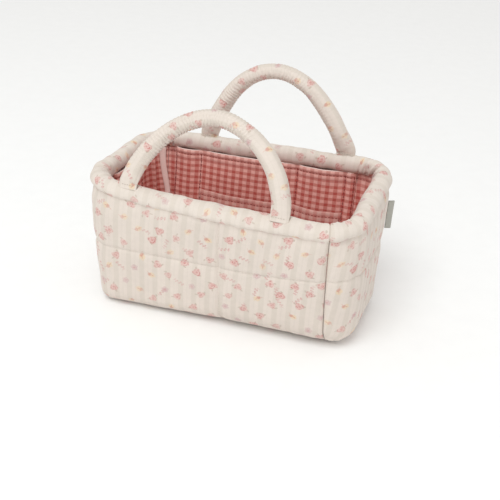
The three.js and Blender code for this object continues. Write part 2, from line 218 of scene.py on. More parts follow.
class Patch:
    """Collects the points, faces and cloth coordinates of one mesh."""

    STITCH_SIDES = 6
    STITCH_THINNING = np.array([0.45, 0.9, 1.0, 0.9, 0.45])
    STITCH_HEIGHT = np.array([-0.22, 0.05, 0.13, 0.05, -0.22])

    def __init__(self) -> None:
        """Starts empty."""
        self.points: list[Array] = []
        self.faces: list[list[int]] = []
        self.uvs: list[Array] = []
        self.count = 0

    def skin(self, loops: Array, uv: Array, ring: bool = False) -> int:
        """Adds a skin whose stations are closed loops of points.

        Args:
            loops: Points by station, by place round the loop, by coordinate.
            uv: Cloth coordinates, the first place repeated, and in a ring the first station too.
            ring: Whether the last station joins the first; otherwise both ends stay open.

        Returns:
            Number of the skin's first point.
        """
        stations, places = loops.shape[:2]
        starts = np.arange(stations if ring else stations - 1)
        station, place = np.meshgrid(starts, np.arange(places), indexing="ij")
        steps = ((0, 0), (0, 1), (1, 1), (1, 0))
        cells = [np.stack([station + down, place + right], -1) for down, right in steps]
        corners = np.stack(cells, 2).reshape(-1, 4, 2)
        numbers = (corners[..., 0] % stations) * places + corners[..., 1] % places + self.count
        self.faces.extend(numbers.tolist())
        self.uvs.append(uv[corners[..., 0], corners[..., 1]].reshape(-1, 2))
        self.points.append(loops.reshape(-1, 3))
        first = self.count
        self.count += stations * places
        return first

    def tube(self, rings: Array, uv: Array) -> None:
        """Adds a closed tube through rings of points, with a flat face over each end.

        Args:
            rings: Points by ring, by place round it, by coordinate.
            uv: Cloth coordinates, with the first place repeated at the end of each ring.
        """
        first = self.skin(rings, uv)
        sides = rings.shape[1]
        last = first + (rings.shape[0] - 1) * sides
        self.faces.append(list(range(first + sides - 1, first - 1, -1)))
        self.faces.append(list(range(last, last + sides)))
        self.uvs.append(np.concatenate([uv[0, :sides][::-1], uv[-1, :sides]]))

    def shell(self, front: Array, back: Array, uv: Array, ring: bool = False) -> None:
        """Adds a cloth with a thickness, its edges rounded over from one face to the other.

        Args:
            front: Points of one face, by station, by row, by coordinate.
            back: Points of the other face in the same order.
            uv: Cloth coordinates by station and row, with the first station repeated if it is a ring.
            ring: Whether the last station joins the first.
        """
        rows = front.shape[1]
        lips = [self._lip(front, back, edge, inner) for edge, inner in ((-1, -2), (0, 1))]
        loops = np.concatenate([front, lips[0], back[:, ::-1], lips[1]], 1)
        around = np.concatenate([uv, uv[:, -1:], uv[:, ::-1], uv[:, :1], uv[:, :1]], 1)
        first = self.skin(loops, around, ring)
        if ring:
            return
        for station, turned in ((0, True), (loops.shape[0] - 1, False)):
            start = first + station * loops.shape[1]
            cells = [[row, row + 1, 2 * rows - row - 1, 2 * rows - row] for row in range(rows - 1)]
            cells += [[rows - 1, rows, rows + 1], [2 * rows, 2 * rows + 1, 0]]
            for cell in cells:
                order = cell[::-1] if turned else cell
                self.faces.append([start + number for number in order])
                self.uvs.append(around[station, order])

    @staticmethod
    def _lip(front: Array, back: Array, edge: int, inner: int) -> Array:
        """Rounds over an edge of a shell.

        Args:
            front: Points of one face.
            back: Points of the other face.
            edge: Number of the edge's row.
            inner: Number of the row inside it.

        Returns:
            The row of points in the middle of the rounded edge.
        """
        middle = (front[:, edge] + back[:, edge]) / 2
        out = unit(front[:, edge] - front[:, inner] + back[:, edge] - back[:, inner])
        half = np.linalg.norm(front[:, edge] - back[:, edge], axis=-1, keepdims=True) / 2
        return (middle + out * half)[:, None]

    def stitches(
        self, path: Array, out: Array, pitch: float = 2.9, length: float = 2.1, radius: float = 0.19
    ) -> None:
        """Adds a row of separate stitches, each dipping into the cloth at its ends.

        Args:
            path: Points along the row.
            out: Direction out of the cloth at each point.
            pitch: Distance from one stitch to the next.
            length: Length of a stitch.
            radius: Radius of the thread.
        """
        run = run_along(path)
        count = max(int((run[-1] - length) / pitch) + 1, 1)
        first = (run[-1] - (count - 1) * pitch - length) / 2
        swing = circle(self.STITCH_SIDES)[:, None]
        around = np.arange(self.STITCH_SIDES + 1) * radius
        for number in range(count):
            places = first + number * pitch + np.linspace(0, length, len(self.STITCH_HEIGHT))
            upward = unit(interpolate(places, run, out))
            centre = interpolate(places, run, path) + upward * self.STITCH_HEIGHT[:, None]
            along = unit(np.gradient(centre, axis=0))
            across = unit(np.cross(along, upward))
            square = np.cross(across, along)
            spread = across[:, None] * np.cos(swing) + square[:, None] * np.sin(swing)
            rings = centre[:, None] + spread * (radius * self.STITCH_THINNING)[:, None, None]
            self.tube(rings, pairs(places[:, None], around))

    def sew(
        self, face: Surface, stations: Array | float, rows: Array | float, towards: Array, **thread: float
    ) -> None:
        """Adds a row of stitches along stations and rows of a face that looks in a direction."""
        self.stitches(face.at(stations, rows), face.out(stations, rows, towards), **thread)

    def piece(self, name: str) -> Piece:
        """Makes the object, with its faces pointing out.

        Args:
            name: Name of the piece.

        Returns:
            The new object.
        """
        points = np.concatenate(self.points) * MM
        mesh = bpy.data.meshes.new(name)
        mesh.from_pydata(points.tolist(), [], self.faces)
        layer = mesh.uv_layers.new(name=CLOTH_MAP)
        layer.data.foreach_set("uv", (np.concatenate(self.uvs) * MM).astype(np.float32).ravel())
        mesh.calc_loop_triangles()
        corners = np.empty(len(mesh.loop_triangles) * 3, np.int32)
        mesh.loop_triangles.foreach_get("vertices", corners)
        a, b, c = points[corners.reshape(-1, 3)].transpose(1, 0, 2)
        if np.einsum("ij,ij->", a, np.cross(b, c)) < 0:
            mesh.flip_normals()
        mesh.polygons.foreach_set("use_smooth", np.ones(len(mesh.polygons), bool))
        mesh.update()
        made = bpy.data.objects.new(name, mesh)
        bpy.context.scene.collection.objects.link(made)
        return made


def make_cloth(name: str, faces: Sequence[Array], uv: Array, ring: bool = False) -> Piece:
    """Makes one cloth with a thickness.

    Args:
        name: Name of the piece.
        faces: Points of its two faces, by station, by row, by coordinate.
        uv: Cloth coordinates by station and row.
        ring: Whether the last station joins the first.

    Returns:
        The new object.
    """
    patch = Patch()
    patch.shell(*faces, uv, ring)
    return patch.piece(name)


@dataclass(frozen=True)
class Surface:
    """One face of a cloth as a grid of points by station and row."""

    points: Array

    def at(self, stations: Array, rows: Array) -> Array:
        """Points between the grid's own, at fractional stations and rows."""
        return self._sample(self.points, stations, rows)

    def out(self, stations: Array, rows: Array, towards: Array) -> Array:
        """Normals at fractional stations and rows, on the side that faces a direction."""
        normal = self._sample(unit(np.cross(*np.gradient(self.points, axis=(0, 1)))), stations, rows)
        return unit(normal * np.where((normal * towards).sum(-1, keepdims=True) < 0, -1, 1))

    @staticmethod
    def _sample(grid: Array, stations: Array, rows: Array) -> Array:
        """Finds the values between a grid's own.

        Args:
            grid: Values by station and row.
            stations: Fractional stations.
            rows: Fractional rows.

        Returns:
            The values there.
        """
        stations, rows = np.broadcast_arrays(stations, rows)
        station = np.clip(stations, 0, grid.shape[0] - 1.001)
        row = np.clip(rows, 0, grid.shape[1] - 1.001)
        i, j = station.astype(int), row.astype(int)
        s, t = (station - i)[..., None], (row - j)[..., None]
        near = grid[i, j] * (1 - s) + grid[i + 1, j] * s
        far = grid[i, j + 1] * (1 - s) + grid[i + 1, j + 1] * s
        return near * (1 - t) + far * t


class Side(Enum):
    """The four walls, named as the frame names them."""

    FRONT = "front"
    RIGHT = "right_end"
    BACK = "back"
    LEFT = "left_end"


INWARD = {
    Side.FRONT: np.array([0.0, 1.0, 0.0]),
    Side.RIGHT: np.array([-1.0, 0.0, 0.0]),
    Side.BACK: np.array([0.0, -1.0, 0.0]),
    Side.LEFT: np.array([1.0, 0.0, 0.0]),
}


@dataclass(frozen=True)
class Span:
    """A stretch of the walls between two turns."""

    side: Side
    start: float
    stop: float


@dataclass(frozen=True)
class Profile:
    """Rows of one layer of the walls, from the top down and round the bottom edge."""

    run: Array
    z: Array
    inset: Array
    lean: Array
    depth: float
    floor: float
    radius: float

    def row_at(self, z: Array) -> Array:
        """Fractional rows at heights on the upright part."""
        return np.interp(-z, -self.z, np.arange(len(self.z)))


@dataclass(frozen=True)
class BasketForm:
    """Outline of the basket, and how its soft walls have settled."""

    rim_length: float = 225.0
    rim_width: float = 131.0
    rim_height: float = 118.0
    rim_radius: float = 32.0
    base_length: float = 214.0
    base_width: float = 96.0
    base_radius: float = 21.0
    overhang: float = 1.5
    wall_top: float = 102.5
    wall_thickness: float = 9.0
    twist: float = 3.4
    front_sag: float = 6.0
    seam_turn: float = 0.2
    seam_lean: float = 4.5
    front_left_radius: float = 0.8
    left_edge: float = 0.6
    right_edge: float = 1.2
    least_radius: float = 0.8
    opposite_left: float = 3.4

    def spans(self) -> list[Span]:
        """The stretch of each wall's panel, from the seam in one corner to the seam in the next."""
        middles = [self.seam_turn + turn for turn in (0, 2, 4, 6)]
        return [Span(side, middle - 1, middle + 1) for side, middle in zip(Side, middles)]

    def rise(self, x: Array, y: Array) -> Array:
        """How far the settled rim lies over its nominal height at places in plan."""
        along, across = np.clip(x / (self.rim_length / 2), -1, 1), np.clip(y / (self.rim_width / 2), -1, 1)
        return self.twist * along * across - self.front_sag * (1 - along**2) * np.maximum(0, -across)

    def settle(self, x: Array, y: Array, z: Array) -> Array:
        """Nominal points moved to where the settled cloth holds them."""
        share = np.clip((z - self.wall_thickness) / (self.rim_height - self.wall_thickness), 0, 1)
        return np.stack(np.broadcast_arrays(x, y, z + self.rise(x, y) * share), -1)

    def on_outline(
        self,
        half_length: Array,
        half_width: Array,
        radius: Array,
        turn: Array,
        front_left: Array | float = 1.0,
    ) -> tuple[Array, ...]:
        """Points on a rounded rectangle.

        Args:
            half_length: Half of its length.
            half_width: Half of its width.
            radius: Radius of its corners.
            turn: 0 to 1 on the front side from left to right, 1 to 2 in the next corner, and so on.
            front_left: Share of the radius that the front left corner has.

        Returns:
            X and Y of the points, and X and Y of the normals that point out.
        """
        place = np.mod(turn, TURNS)
        section = np.floor(place).astype(int)
        part = place - section
        quarter = section // 2
        is_corner = section % 2 == 1
        angle = (quarter - 1 + np.where(is_corner, part, 0.0)) * math.pi / 2
        corners = np.array([[1, -1], [1, 1], [-1, 1], [-1, -1]], float)
        normal_x, normal_y = np.cos(angle), np.sin(angle)
        before = np.where(is_corner, quarter, (quarter + 3) % 4)
        ends = []
        for corner in (before, quarter):
            own = np.maximum(radius * np.where(corner == 3, front_left, 1.0), self.least_radius)
            x = corners[corner, 0] * (half_length - own) + normal_x * own
            y = corners[corner, 1] * (half_width - own) + normal_y * own
            ends.append((x, y))
        x, y = (first + (last - first) * part for first, last in zip(*ends))
        return x, y, normal_x, normal_y

    def wall_outline(self, z: Array) -> tuple[Array, Array, Array]:
        """Outline of the walls' outer face.

        Args:
            z: Heights.

        Returns:
            Its half length, its half width and the radius of its corners.
        """
        share = np.asarray(z, float) / self.wall_top
        base = (self.base_length / 2, self.base_width / 2, self.base_radius)
        rim = (self.rim_length / 2, self.rim_width / 2, self.rim_radius)
        return tuple(low + (high - self.overhang - low) * share for low, high in zip(base, rim))

    def wall_point(self, turn: Array, z: Array, inset: Array, shift: Array | float = 0.0) -> Array:
        """Points on the wall.

        Args:
            turn: Turns round the basket.
            z: Heights.
            inset: How deep they lie under the outer face.
            shift: How far they are moved along the wall.

        Returns:
            The settled points.
        """
        half_length, half_width, radius = self.wall_outline(z)
        share = np.clip(np.asarray(z, float) / self.wall_top, 0, 1)
        squarer = 1 - (1 - self.front_left_radius) * (1 - share**2)
        outline = self.on_outline(half_length - inset, half_width - inset, radius - inset, turn, squarer)
        x, y, normal_x, normal_y = outline
        return self.settle(x - normal_y * shift, y + normal_x * shift, z)

    def rim_point(self, turn: Array, inset: Array, z: Array) -> Array:
        """Points on the rim at turns and heights, inset from its widest outline."""
        halves = (self.rim_length / 2 - inset, self.rim_width / 2 - inset)
        return self.settle(*self.on_outline(*halves, self.rim_radius - inset, turn)[:2], z)

    def off_lining(self, side: Side, along: Array, z: Array, stand_off: Array) -> Array:
        """Points off the lining on the straight stretch of a wall.

        Args:
            side: The wall.
            along: Places along it.
            z: Heights.
            stand_off: How far they stand off the lining.

        Returns:
            The settled points.
        """
        half_length, half_width, _ = self.wall_outline(z)
        depth = self.wall_thickness + stand_off
        if side in (Side.FRONT, Side.BACK):
            return self.settle(along, (half_width - depth) * (1 if side is Side.BACK else -1), z)
        return self.settle((half_length - depth) * (1 if side is Side.RIGHT else -1), along, z)

    @cached_property
    def ends(self) -> Array:
        """Measures the rim's outline.

        Returns:
            Lengths along it at the whole turns from 0 to 8.
        """
        long_side = self.rim_length - 2 * self.rim_radius
        short_side = self.rim_width - 2 * self.rim_radius
        corner = self.rim_radius * math.pi / 2
        return np.concatenate([[0.0], np.cumsum([long_side, corner, short_side, corner] * 2)])

    def arc_at(self, turn: Array) -> Array:
        """Length along the rim's outline at a turn; a lap is 8 turns."""
        laps = np.floor(np.asarray(turn, float) / TURNS)
        return laps * self.ends[-1] + np.interp(turn - TURNS * laps, np.arange(TURNS + 1), self.ends)

    def lap_arc(self, turn: Array) -> Array:
        """Length along the rim's outline at a turn, within one lap."""
        return np.mod(self.arc_at(turn), self.ends[-1])

    def turn_at(self, arc: Array) -> Array:
        """Turn at a length along the rim's outline."""
        laps = np.floor(np.asarray(arc, float) / self.ends[-1])
        return laps * TURNS + np.interp(arc - self.ends[-1] * laps, self.ends, np.arange(TURNS + 1))

    def stations(self, start: float, stop: float, step: float) -> Array:
        """Turns from start to stop, evenly spaced along the rim."""
        first, last = self.arc_at(start), self.arc_at(stop)
        return self.turn_at(np.linspace(first, last, int((last - first) / step) + 2))

    def plan(self, turns: Array) -> tuple[Array, Array]:
        """X and Y of the rim's outline at turns, as columns, to lay random fields on."""
        x, y, _, _ = self.on_outline(self.rim_length / 2, self.rim_width / 2, self.rim_radius, turns)
        return x[:, None], y[:, None]

    def outward(self, turns: Array) -> Array:
        """Directions out of the walls at turns."""
        outline = self.on_outline(self.rim_length / 2, self.rim_width / 2, self.rim_radius, turns)
        return np.stack([outline[2], outline[3], np.zeros_like(outline[2])], -1)

    def seam_distance(self, turns: Array) -> Array:
        """Measures how far turns lie from the seams between the panels.

        Args:
            turns: Turns round the basket.

        Returns:
            Distance along the rim to the nearest seam, as a column.
        """
        seams = self.arc_at(np.array([span.start % TURNS for span in self.spans()]))[None, :]
        away = np.abs(self.lap_arc(turns)[:, None] - seams)
        return np.minimum(away, self.ends[-1] - away).min(1)[:, None]

    def corner_share(self, turns: Array) -> Array:
        """1 in the middle of a rounded corner, falling to 0 on the straight sides, as a column."""
        return np.clip(1.15 - np.abs(np.mod(turns, 2.0) - 1.5) * 1.7, 0, 1)[:, None]

    def off_left(self, turns: Array) -> Array:
        """How many turns lie between turns and the front left corner."""
        return np.abs(np.mod(turns - self.opposite_left, TURNS) - TURNS / 2)

    def profile(
        self, depth: float, floor: float, radius: float, top: float, last_angle: float, step: float
    ) -> Profile:
        """Rows of a layer.

        Args:
            depth: How deep the layer lies under the outer face.
            floor: Height at which it would turn level.
            radius: Radius of its bottom edge.
            top: Height of its top row.
            last_angle: How far round the bottom edge it runs, in degrees.
            step: Distance between rows.

        Returns:
            The rows.
        """
        low = floor + radius
        upright = np.linspace(top, low, int((top - low) / step) + 2)
        edge_rows = max(int(radius * math.radians(last_angle) / step), 3) + 1
        angles = np.linspace(0, math.radians(last_angle), edge_rows)[1:]
        z = np.concatenate([upright, low - radius * np.sin(angles)])
        inset = np.concatenate([np.full(len(upright), depth), depth + radius * (1 - np.cos(angles))])
        lean = np.concatenate([np.zeros(len(upright)), angles])
        run = np.concatenate([[0.0], np.cumsum(np.hypot(np.diff(z), np.diff(inset)))])
        return Profile(run, z, inset, lean, depth, floor, radius)

    def edge_share(self, turns: Array) -> Array:
        """How round the bottom edge is: tight at the left, full at the right.

        Args:
            turns: Turns round the basket.

        Returns:
            Share of its nominal radius that it has there.
        """
        place = np.mod(turns, TURNS)
        left = ramp(self.off_left(place), 1.3, 0.3)
        right = ramp(np.abs(place - 1.3), 1.2, 0.3)
        return 1 + (self.left_edge - 1) * left + (self.right_edge - 1) * right

    def layer(self, turns: Array, profile: Profile, lift: Array, shift: Array | float = 0.0) -> Array:
        """Points of a layer, each lifted off its nominal place along the normal that points out.

        Args:
            turns: Stations round the basket.
            profile: Rows of the layer.
            lift: How far each point is lifted.
            shift: How far each is moved along the wall.

        Returns:
            The points by station and row.
        """
        share = self.edge_share(turns)[:, None]
        top, low = profile.z[0], profile.floor + profile.radius
        stretch = (top - profile.floor - profile.radius * share) / (top - low)
        upright = top - (top - profile.z) * stretch
        round_edge = profile.floor + (profile.z - profile.floor) * share
        z = np.where(profile.z > low, upright, round_edge) - lift * np.sin(profile.lean)
        inset = profile.depth + (profile.inset - profile.depth) * share - lift * np.cos(profile.lean)
        arc = self.arc_at(turns)[:, None]
        lean = self.seam_lean * (1 + valley(np.mod(turns, TURNS)[:, None] - 1 - self.seam_turn, 0.7))
        arc = arc - lean * (1 - profile.z / self.wall_top)
        return self.wall_point(self.turn_at(arc), z, inset, shift)


@dataclass(frozen=True)
class Graph:
    """Short calls that add nodes to one node tree."""

    tree: bpy.types.NodeTree

    def put(self, socket: Socket, value: object) -> None:
        """Links a socket to an input, or sets the input's own value.

        Args:
            socket: The input.
            value: A value of the graph, a socket, a number or a colour.
        """
        if isinstance(value, Value):
            value = value.socket
        if isinstance(value, bpy.types.NodeSocket):
            self.tree.links.new(value, socket)
        elif socket.type == "RGBA" and len(value) == 3:
            socket.default_value = (*value, 1.0)
        else:
            socket.default_value = value

    def node(self, kind: str, inputs: dict | None = None, **settings: object) -> bpy.types.Node:
        """Adds a node.

        Args:
            kind: Blender's name of the node.
            inputs: Values or sockets by the name or number of the input.
            settings: Values of the node's own properties.

        Returns:
            The node.
        """
        node = self.tree.nodes.new(kind)
        for name, value in settings.items():
            setattr(node, name, value)
        for name, value in (inputs or {}).items():
            self.put(node.inputs[name], value)
        return node

    def value(self, kind: str, inputs: dict, **settings: object) -> Value:
        """The number that a new node puts out first."""
        return Value(self, self.node(kind, inputs, **settings).outputs[0])

    def math(self, operation: str, *values: object) -> Value:
        """Result of a Math node."""
        return self.value("ShaderNodeMath", dict(enumerate(values)), operation=operation)

    def mix(self, share: object, first: object, second: object) -> Socket:
        """Mix of two colours."""
        inputs = {"Factor": share, 6: first, 7: second}
        return self.node("ShaderNodeMix", inputs, data_type="RGBA").outputs[2]

    def scaled(self, vector: Socket, scale: object) -> Socket:
        """A vector or colour times a number."""
        return self.node("ShaderNodeVectorMath", {0: vector, 3: scale}, operation="SCALE").outputs[0]

    def vector(self, operation: str, first: object, second: object) -> Socket:
        """Result of a Vector Math node with two vectors."""
        return self.node("ShaderNodeVectorMath", {0: first, 1: second}, operation=operation).outputs[0]

    def turned(self, vector: Socket, angle: object) -> Socket:
        """A vector turned about Z by an angle in radians."""
        inputs = {"Vector": vector, "Angle": angle}
        return self.node("ShaderNodeVectorRotate", inputs, rotation_type="Z_AXIS").outputs[0]

    def parts(self, vector: Socket) -> tuple[Value, Value]:
        """X and Y of a vector."""
        outputs = self.node("ShaderNodeSeparateXYZ", {0: vector}).outputs
        return Value(self, outputs[0]), Value(self, outputs[1])

    def noise(self, vector: Socket, scale: float, detail: float = 2.0) -> Value:
        """Value of a noise texture."""
        return self.value("ShaderNodeTexNoise", {"Vector": vector, "Scale": scale, "Detail": detail})

    def group(self, tree: bpy.types.NodeTree, inputs: dict) -> bpy.types.Node:
        """Places a node group with its values."""
        return self.node("ShaderNodeGroup", inputs, node_tree=tree)


@dataclass(frozen=True)
class Value:
    """A number in a graph; each sum, product or step of it adds a node."""

    graph: Graph
    socket: Socket

    def __add__(self, other: object) -> Value:
        """Sum with another number."""
        return self.graph.math("ADD", self, other)

    def __sub__(self, other: object) -> Value:
        """Difference from another number."""
        return self.graph.math("SUBTRACT", self, other)

    def __mul__(self, other: object) -> Value:
        """Product with another number."""
        return self.graph.math("MULTIPLY", self, other)

    def __truediv__(self, other: object) -> Value:
        """Quotient by another number."""
        return self.graph.math("DIVIDE", self, other)

    def __or__(self, other: object) -> Value:
        """The larger of two numbers."""
        return self.graph.math("MAXIMUM", self, other)

    def size(self) -> Value:
        """The number without its sign."""
        return self.graph.math("ABSOLUTE", self)

    def sine(self) -> Value:
        """Sine of an angle in radians."""
        return self.graph.math("SINE", self)

    def step(self, low: float, high: float) -> Value:
        """Smooth step of the number, from 0 at low to 1 at high."""
        inputs = {"Value": self, "From Min": low, "From Max": high}
        return self.graph.value("ShaderNodeMapRange", inputs, interpolation_type="SMOOTHSTEP")


def new_material(name: str) -> tuple[bpy.types.Material, Graph]:
    """Makes an empty material.

    Args:
        name: Name of the material.

    Returns:
        The material and the graph of its nodes.
    """
    material = bpy.data.materials.new(name)
    material.use_nodes = True
    material.node_tree.nodes.clear()
    return material, Graph(material.node_tree)


def finish_material(graph: Graph, inputs: dict) -> None:
    """Adds the Principled shader of a material, with its inputs, and links it to the output."""
    shader = graph.node("ShaderNodeBsdfPrincipled", inputs)
    graph.put(graph.node("ShaderNodeOutputMaterial").inputs["Surface"], shader.outputs[0])


class Motifs:
    """Places scattered over a cloth, each with a turn and random numbers of its own.

    The drawings' sizes are in millimetres, from the middle of a motif.
    """

    BRUSH_SCALE = 420.0
    WAVER = 1.7

    def __init__(self, graph: Graph, cloth: Socket, spacing: float, slant: float, scatter: float) -> None:
        """Builds the nodes.

        Args:
            graph: Graph that takes the nodes.
            cloth: Cloth coordinates in metres.
            spacing: Distance between motifs in millimetres.
            slant: Angle of their rows to the cloth, in degrees.
            scatter: How far they leave their rows, from 0 to 1.
        """
        self.graph = graph
        place = graph.scaled(graph.turned(cloth, math.radians(slant)), 1 / (MM * spacing))
        inputs = {"Vector": place, "Scale": 1.0, "Randomness": scatter}
        cells = graph.node("ShaderNodeTexVoronoi", inputs, voronoi_dimensions="2D").outputs
        local = graph.scaled(graph.vector("SUBTRACT", place, cells["Position"]), spacing)
        draws = graph.node("ShaderNodeSeparateColor", {0: cells["Color"]}).outputs
        self.kind, own_turn, self.draw = (Value(graph, draw) for draw in draws)
        turned = graph.turned(local, own_turn * (2 * math.pi))
        inputs = {"Vector": cloth, "Scale": self.BRUSH_SCALE, "Detail": 3.0}
        brush = graph.node("ShaderNodeTexNoise", inputs).outputs["Color"]
        waver = graph.scaled(graph.vector("SUBTRACT", brush, (0.5, 0.5, 0.5)), self.WAVER)
        self.x, self.y = graph.parts(graph.vector("ADD", turned, waver))
        self.brush = graph.vector("ADD", turned, graph.scaled(cells["Color"], 40.0))
        self.radius = graph.math("SQRT", self.x * self.x + self.y * self.y)
        self.angle = graph.math("ARCTAN2", self.y, self.x)

    def between(self, low: float, high: float) -> Value:
        """1 for the motifs whose kind lies between two numbers."""
        above = self.graph.math("GREATER_THAN", self.kind, low)
        return above * self.graph.math("LESS_THAN", self.kind, high)

    def oval(self, centre: tuple[float, float], half: tuple[float, float]) -> Value:
        """Soft mask of an oval with a centre, a half width and a half height."""
        across, upward = (self.x - centre[0]) / half[0], (self.y - centre[1]) / half[1]
        return (across * across + upward * upward).step(1.9, 0.3)

    def rose(self, shown: Value) -> tuple[Value, Value, Value]:
        """Draws a round rose.

        Args:
            shown: 1 where the motif is a rose.

        Returns:
            Masks of its leaves, of its petals and of the lines between them.
        """
        lobes = (self.angle * 3.0 + self.draw * 40.0).sine()
        share = self.radius / (lobes * 0.45 + (self.draw * 0.7 + 3.0))
        petal = share.step(1.2, 0.6) * shown
        swirl = (self.radius * 3.1 + (self.angle + self.draw * 9.0)).sine().step(0.45, 0.95)
        brim = (share - 0.9).size().step(0.22, 0.05)
        broken = self.graph.noise(self.brush, 0.55, 1.0).step(0.40, 0.54)
        heart = self.radius.step(1.6, 0.2) * 0.5
        line = ((swirl | brim) * broken | heart) * petal
        leaves = self.oval((4.1, 0.7), (1.3, 0.6)) | self.oval((-3.1, -2.7), (0.7, 1.2))
        return leaves * shown, petal, line

    def bud(self, shown: Value) -> tuple[Value, Value]:
        """Draws a small open bud.

        Args:
            shown: 1 where the motif is a bud.

        Returns:
            Masks of its three petals, and of its cup with the stem.
        """
        side_petals = self.oval((0.7, 1.5), (1.9, 1.0)) | self.oval((0.7, -1.5), (1.9, 1.0))
        petals = side_petals | self.oval((1.7, 0.0), (2.1, 1.1))
        off = (self.y - self.x * self.x * 0.1).size()
        reach = self.x.step(-0.8, -1.4) * self.x.step(-5.0, -4.0)
        stem = off.step(0.5, 0.1) * reach * 0.7
        cup = self.oval((-1.2, 0.0), (1.5, 1.5)) | self.oval((1.3, 0.0), (1.1, 0.4)) | stem
        return petals * shown, cup * shown

    def blossom(self, shown: Value) -> tuple[Value, Value]:
        """Draws a flat blossom.

        Args:
            shown: 1 where the motif is a blossom.

        Returns:
            Masks of its five petals, and of its heart with the lines between the petals.
        """
        wave = self.graph.math("COSINE", self.angle * 2.5).size()
        petals = (self.radius / (wave * 1.1 + 2.3)).step(1.15, 0.75) * shown
        notch = wave.step(0.5, 0.1) * self.radius.step(2.8, 1.8)
        return petals, (notch | self.radius.step(1.1, 0.5)) * petals

    def sprig(self, shown: Value) -> Value:
        """Draws a thin curved sprig with small dots on both sides.

        Args:
            shown: 1 where the motif is a sprig.

        Returns:
            Mask of the sprig.
        """
        off = (self.y - (self.x * 0.5).sine() * 1.3).size()
        ends = self.x.size().step(5.0, 3.8)
        line = off.step(0.6, 0.1) * 0.6
        beads = (self.x * 2.4).sine().step(-0.2, 0.7)
        beside = (off - 0.9).size().step(0.9, 0.3)
        return (line | beside * beads) * ends * shown


class Effects:
    """Shader node groups that more than one finish uses; lengths inside them are in millimetres."""

    def __init__(self) -> None:
        """Builds each group once."""
        self.weave = self._weave()
        self.stripes = self._stripes()
        self.gingham = self._gingham()
        self.mottle = self._mottle()

    @staticmethod
    def start(name: str, inputs: dict[str, object], outputs: dict) -> tuple[Graph, Sockets, Sockets]:
        """Starts a group.

        Args:
            name: Name of the group.
            inputs: Default value of each input by name: a number, a colour, or None for a vector.
            outputs: Kind of each output by name.

        Returns:
            The group's graph, its input sockets and its output sockets by name.
        """
        tree = bpy.data.node_groups.new(name, "ShaderNodeTree")
        for label, value in inputs.items():
            kind = "Vector" if value is None else ("Color" if isinstance(value, tuple) else "Float")
            socket = tree.interface.new_socket(label, in_out="INPUT", socket_type=f"NodeSocket{kind}")
            if value is not None:
                socket.default_value = (*value, 1.0) if isinstance(value, tuple) else value
        for label, kind in outputs.items():
            tree.interface.new_socket(label, in_out="OUTPUT", socket_type=f"NodeSocket{kind}")
        graph = Graph(tree)
        return graph, graph.node("NodeGroupInput").outputs, graph.node("NodeGroupOutput").inputs

    def _weave(self) -> bpy.types.NodeTree:
        """Plain weave: threads that pass over and under each other, with slubs.

        Returns:
            The group.
        """
        outputs = {"Height": "Float", "Over": "Float"}
        graph, given, out = self.start("PlainWeave", {"Cloth": None, "Thread": 0.35}, outputs)
        x, y = graph.parts(graph.scaled(given["Cloth"], 1 / MM))
        wobble = graph.noise(given["Cloth"], 900.0) * 0.25
        warp, weft = (((place + wobble) / given["Thread"] * math.pi).sine() for place in (x, y))
        slub = graph.noise(given["Cloth"], 1400.0) * 0.5
        graph.put(out["Height"], (warp.size() | weft.size()) * 0.5 + slub)
        graph.put(out["Over"], (warp * weft).step(-0.35, 0.35))
        return graph.tree

    def _mottle(self) -> bpy.types.NodeTree:
        """Uneven tint of washed cloth.

        Returns:
            The group.
        """
        inputs = {"Cloth": None, "Colour": WHITE, "Amount": 0.05}
        graph, given, out = self.start("Mottle", inputs, {"Colour": "Color"})
        broad = graph.noise(given["Cloth"], 28.0, 3.0).step(0.3, 0.7)
        fine = graph.noise(given["Cloth"], 240.0).step(0.3, 0.7)
        shade = (broad * 0.6 + fine * 0.4) * given["Amount"]
        graph.put(out["Colour"], graph.scaled(given["Colour"], graph.math("SUBTRACT", 1.0, shade)))
        return graph.tree

    def _stripes(self) -> bpy.types.NodeTree:
        """Broad tone-on-tone woven stripes along the cloth's length, with a thin line in each pale one.

        Returns:
            The group.
        """
        inputs = {"Cloth": None, "Period": 11.0, "Ground": WHITE, "Band": WHITE}
        graph, given, out = self.start("WovenStripes", inputs, {"Colour": "Color"})
        x, _ = graph.parts(graph.scaled(given["Cloth"], 1 / MM))
        place = graph.math("FRACT", x / given["Period"])
        band = (place - 0.3).size().step(0.24, 0.15)
        line = (place - 0.78).size().step(0.06, 0.02)
        threads = (x * (2 * math.pi / 1.1)).sine().step(-1.0, 1.0)
        share = band * (threads * 0.25 + 0.75) | line * 0.35
        graph.put(out["Colour"], graph.mix(share, given["Ground"], given["Band"]))
        return graph.tree

    def _gingham(self) -> bpy.types.NodeTree:
        """Gingham: coloured and pale bands both ways, half and half where they cross.

        Returns:
            The group.
        """
        inputs = {"Cloth": None, "Across": 3.5, "Up": 3.5, "Over": 0.5}
        inputs |= {"Dark": WHITE, "Half": WHITE, "Light": WHITE}
        graph, given, out = self.start("Gingham", inputs, {"Colour": "Color"})
        x, y = graph.parts(graph.scaled(given["Cloth"], 1 / MM))
        waver = (graph.noise(given["Cloth"], 300.0) - 0.5) * 0.7
        upright, level = (
            ((place + waver) / check * math.pi).sine().step(-0.4, 0.4)
            for place, check in ((x, given["Across"]), (y, given["Up"]))
        )
        thread = Value(graph, given["Over"]) * 0.5 + 0.75
        share = (upright - level).size() * thread
        lighter = graph.mix(share, given["Light"], given["Half"])
        graph.put(out["Colour"], graph.mix(upright * level, lighter, given["Dark"]))
        return graph.tree


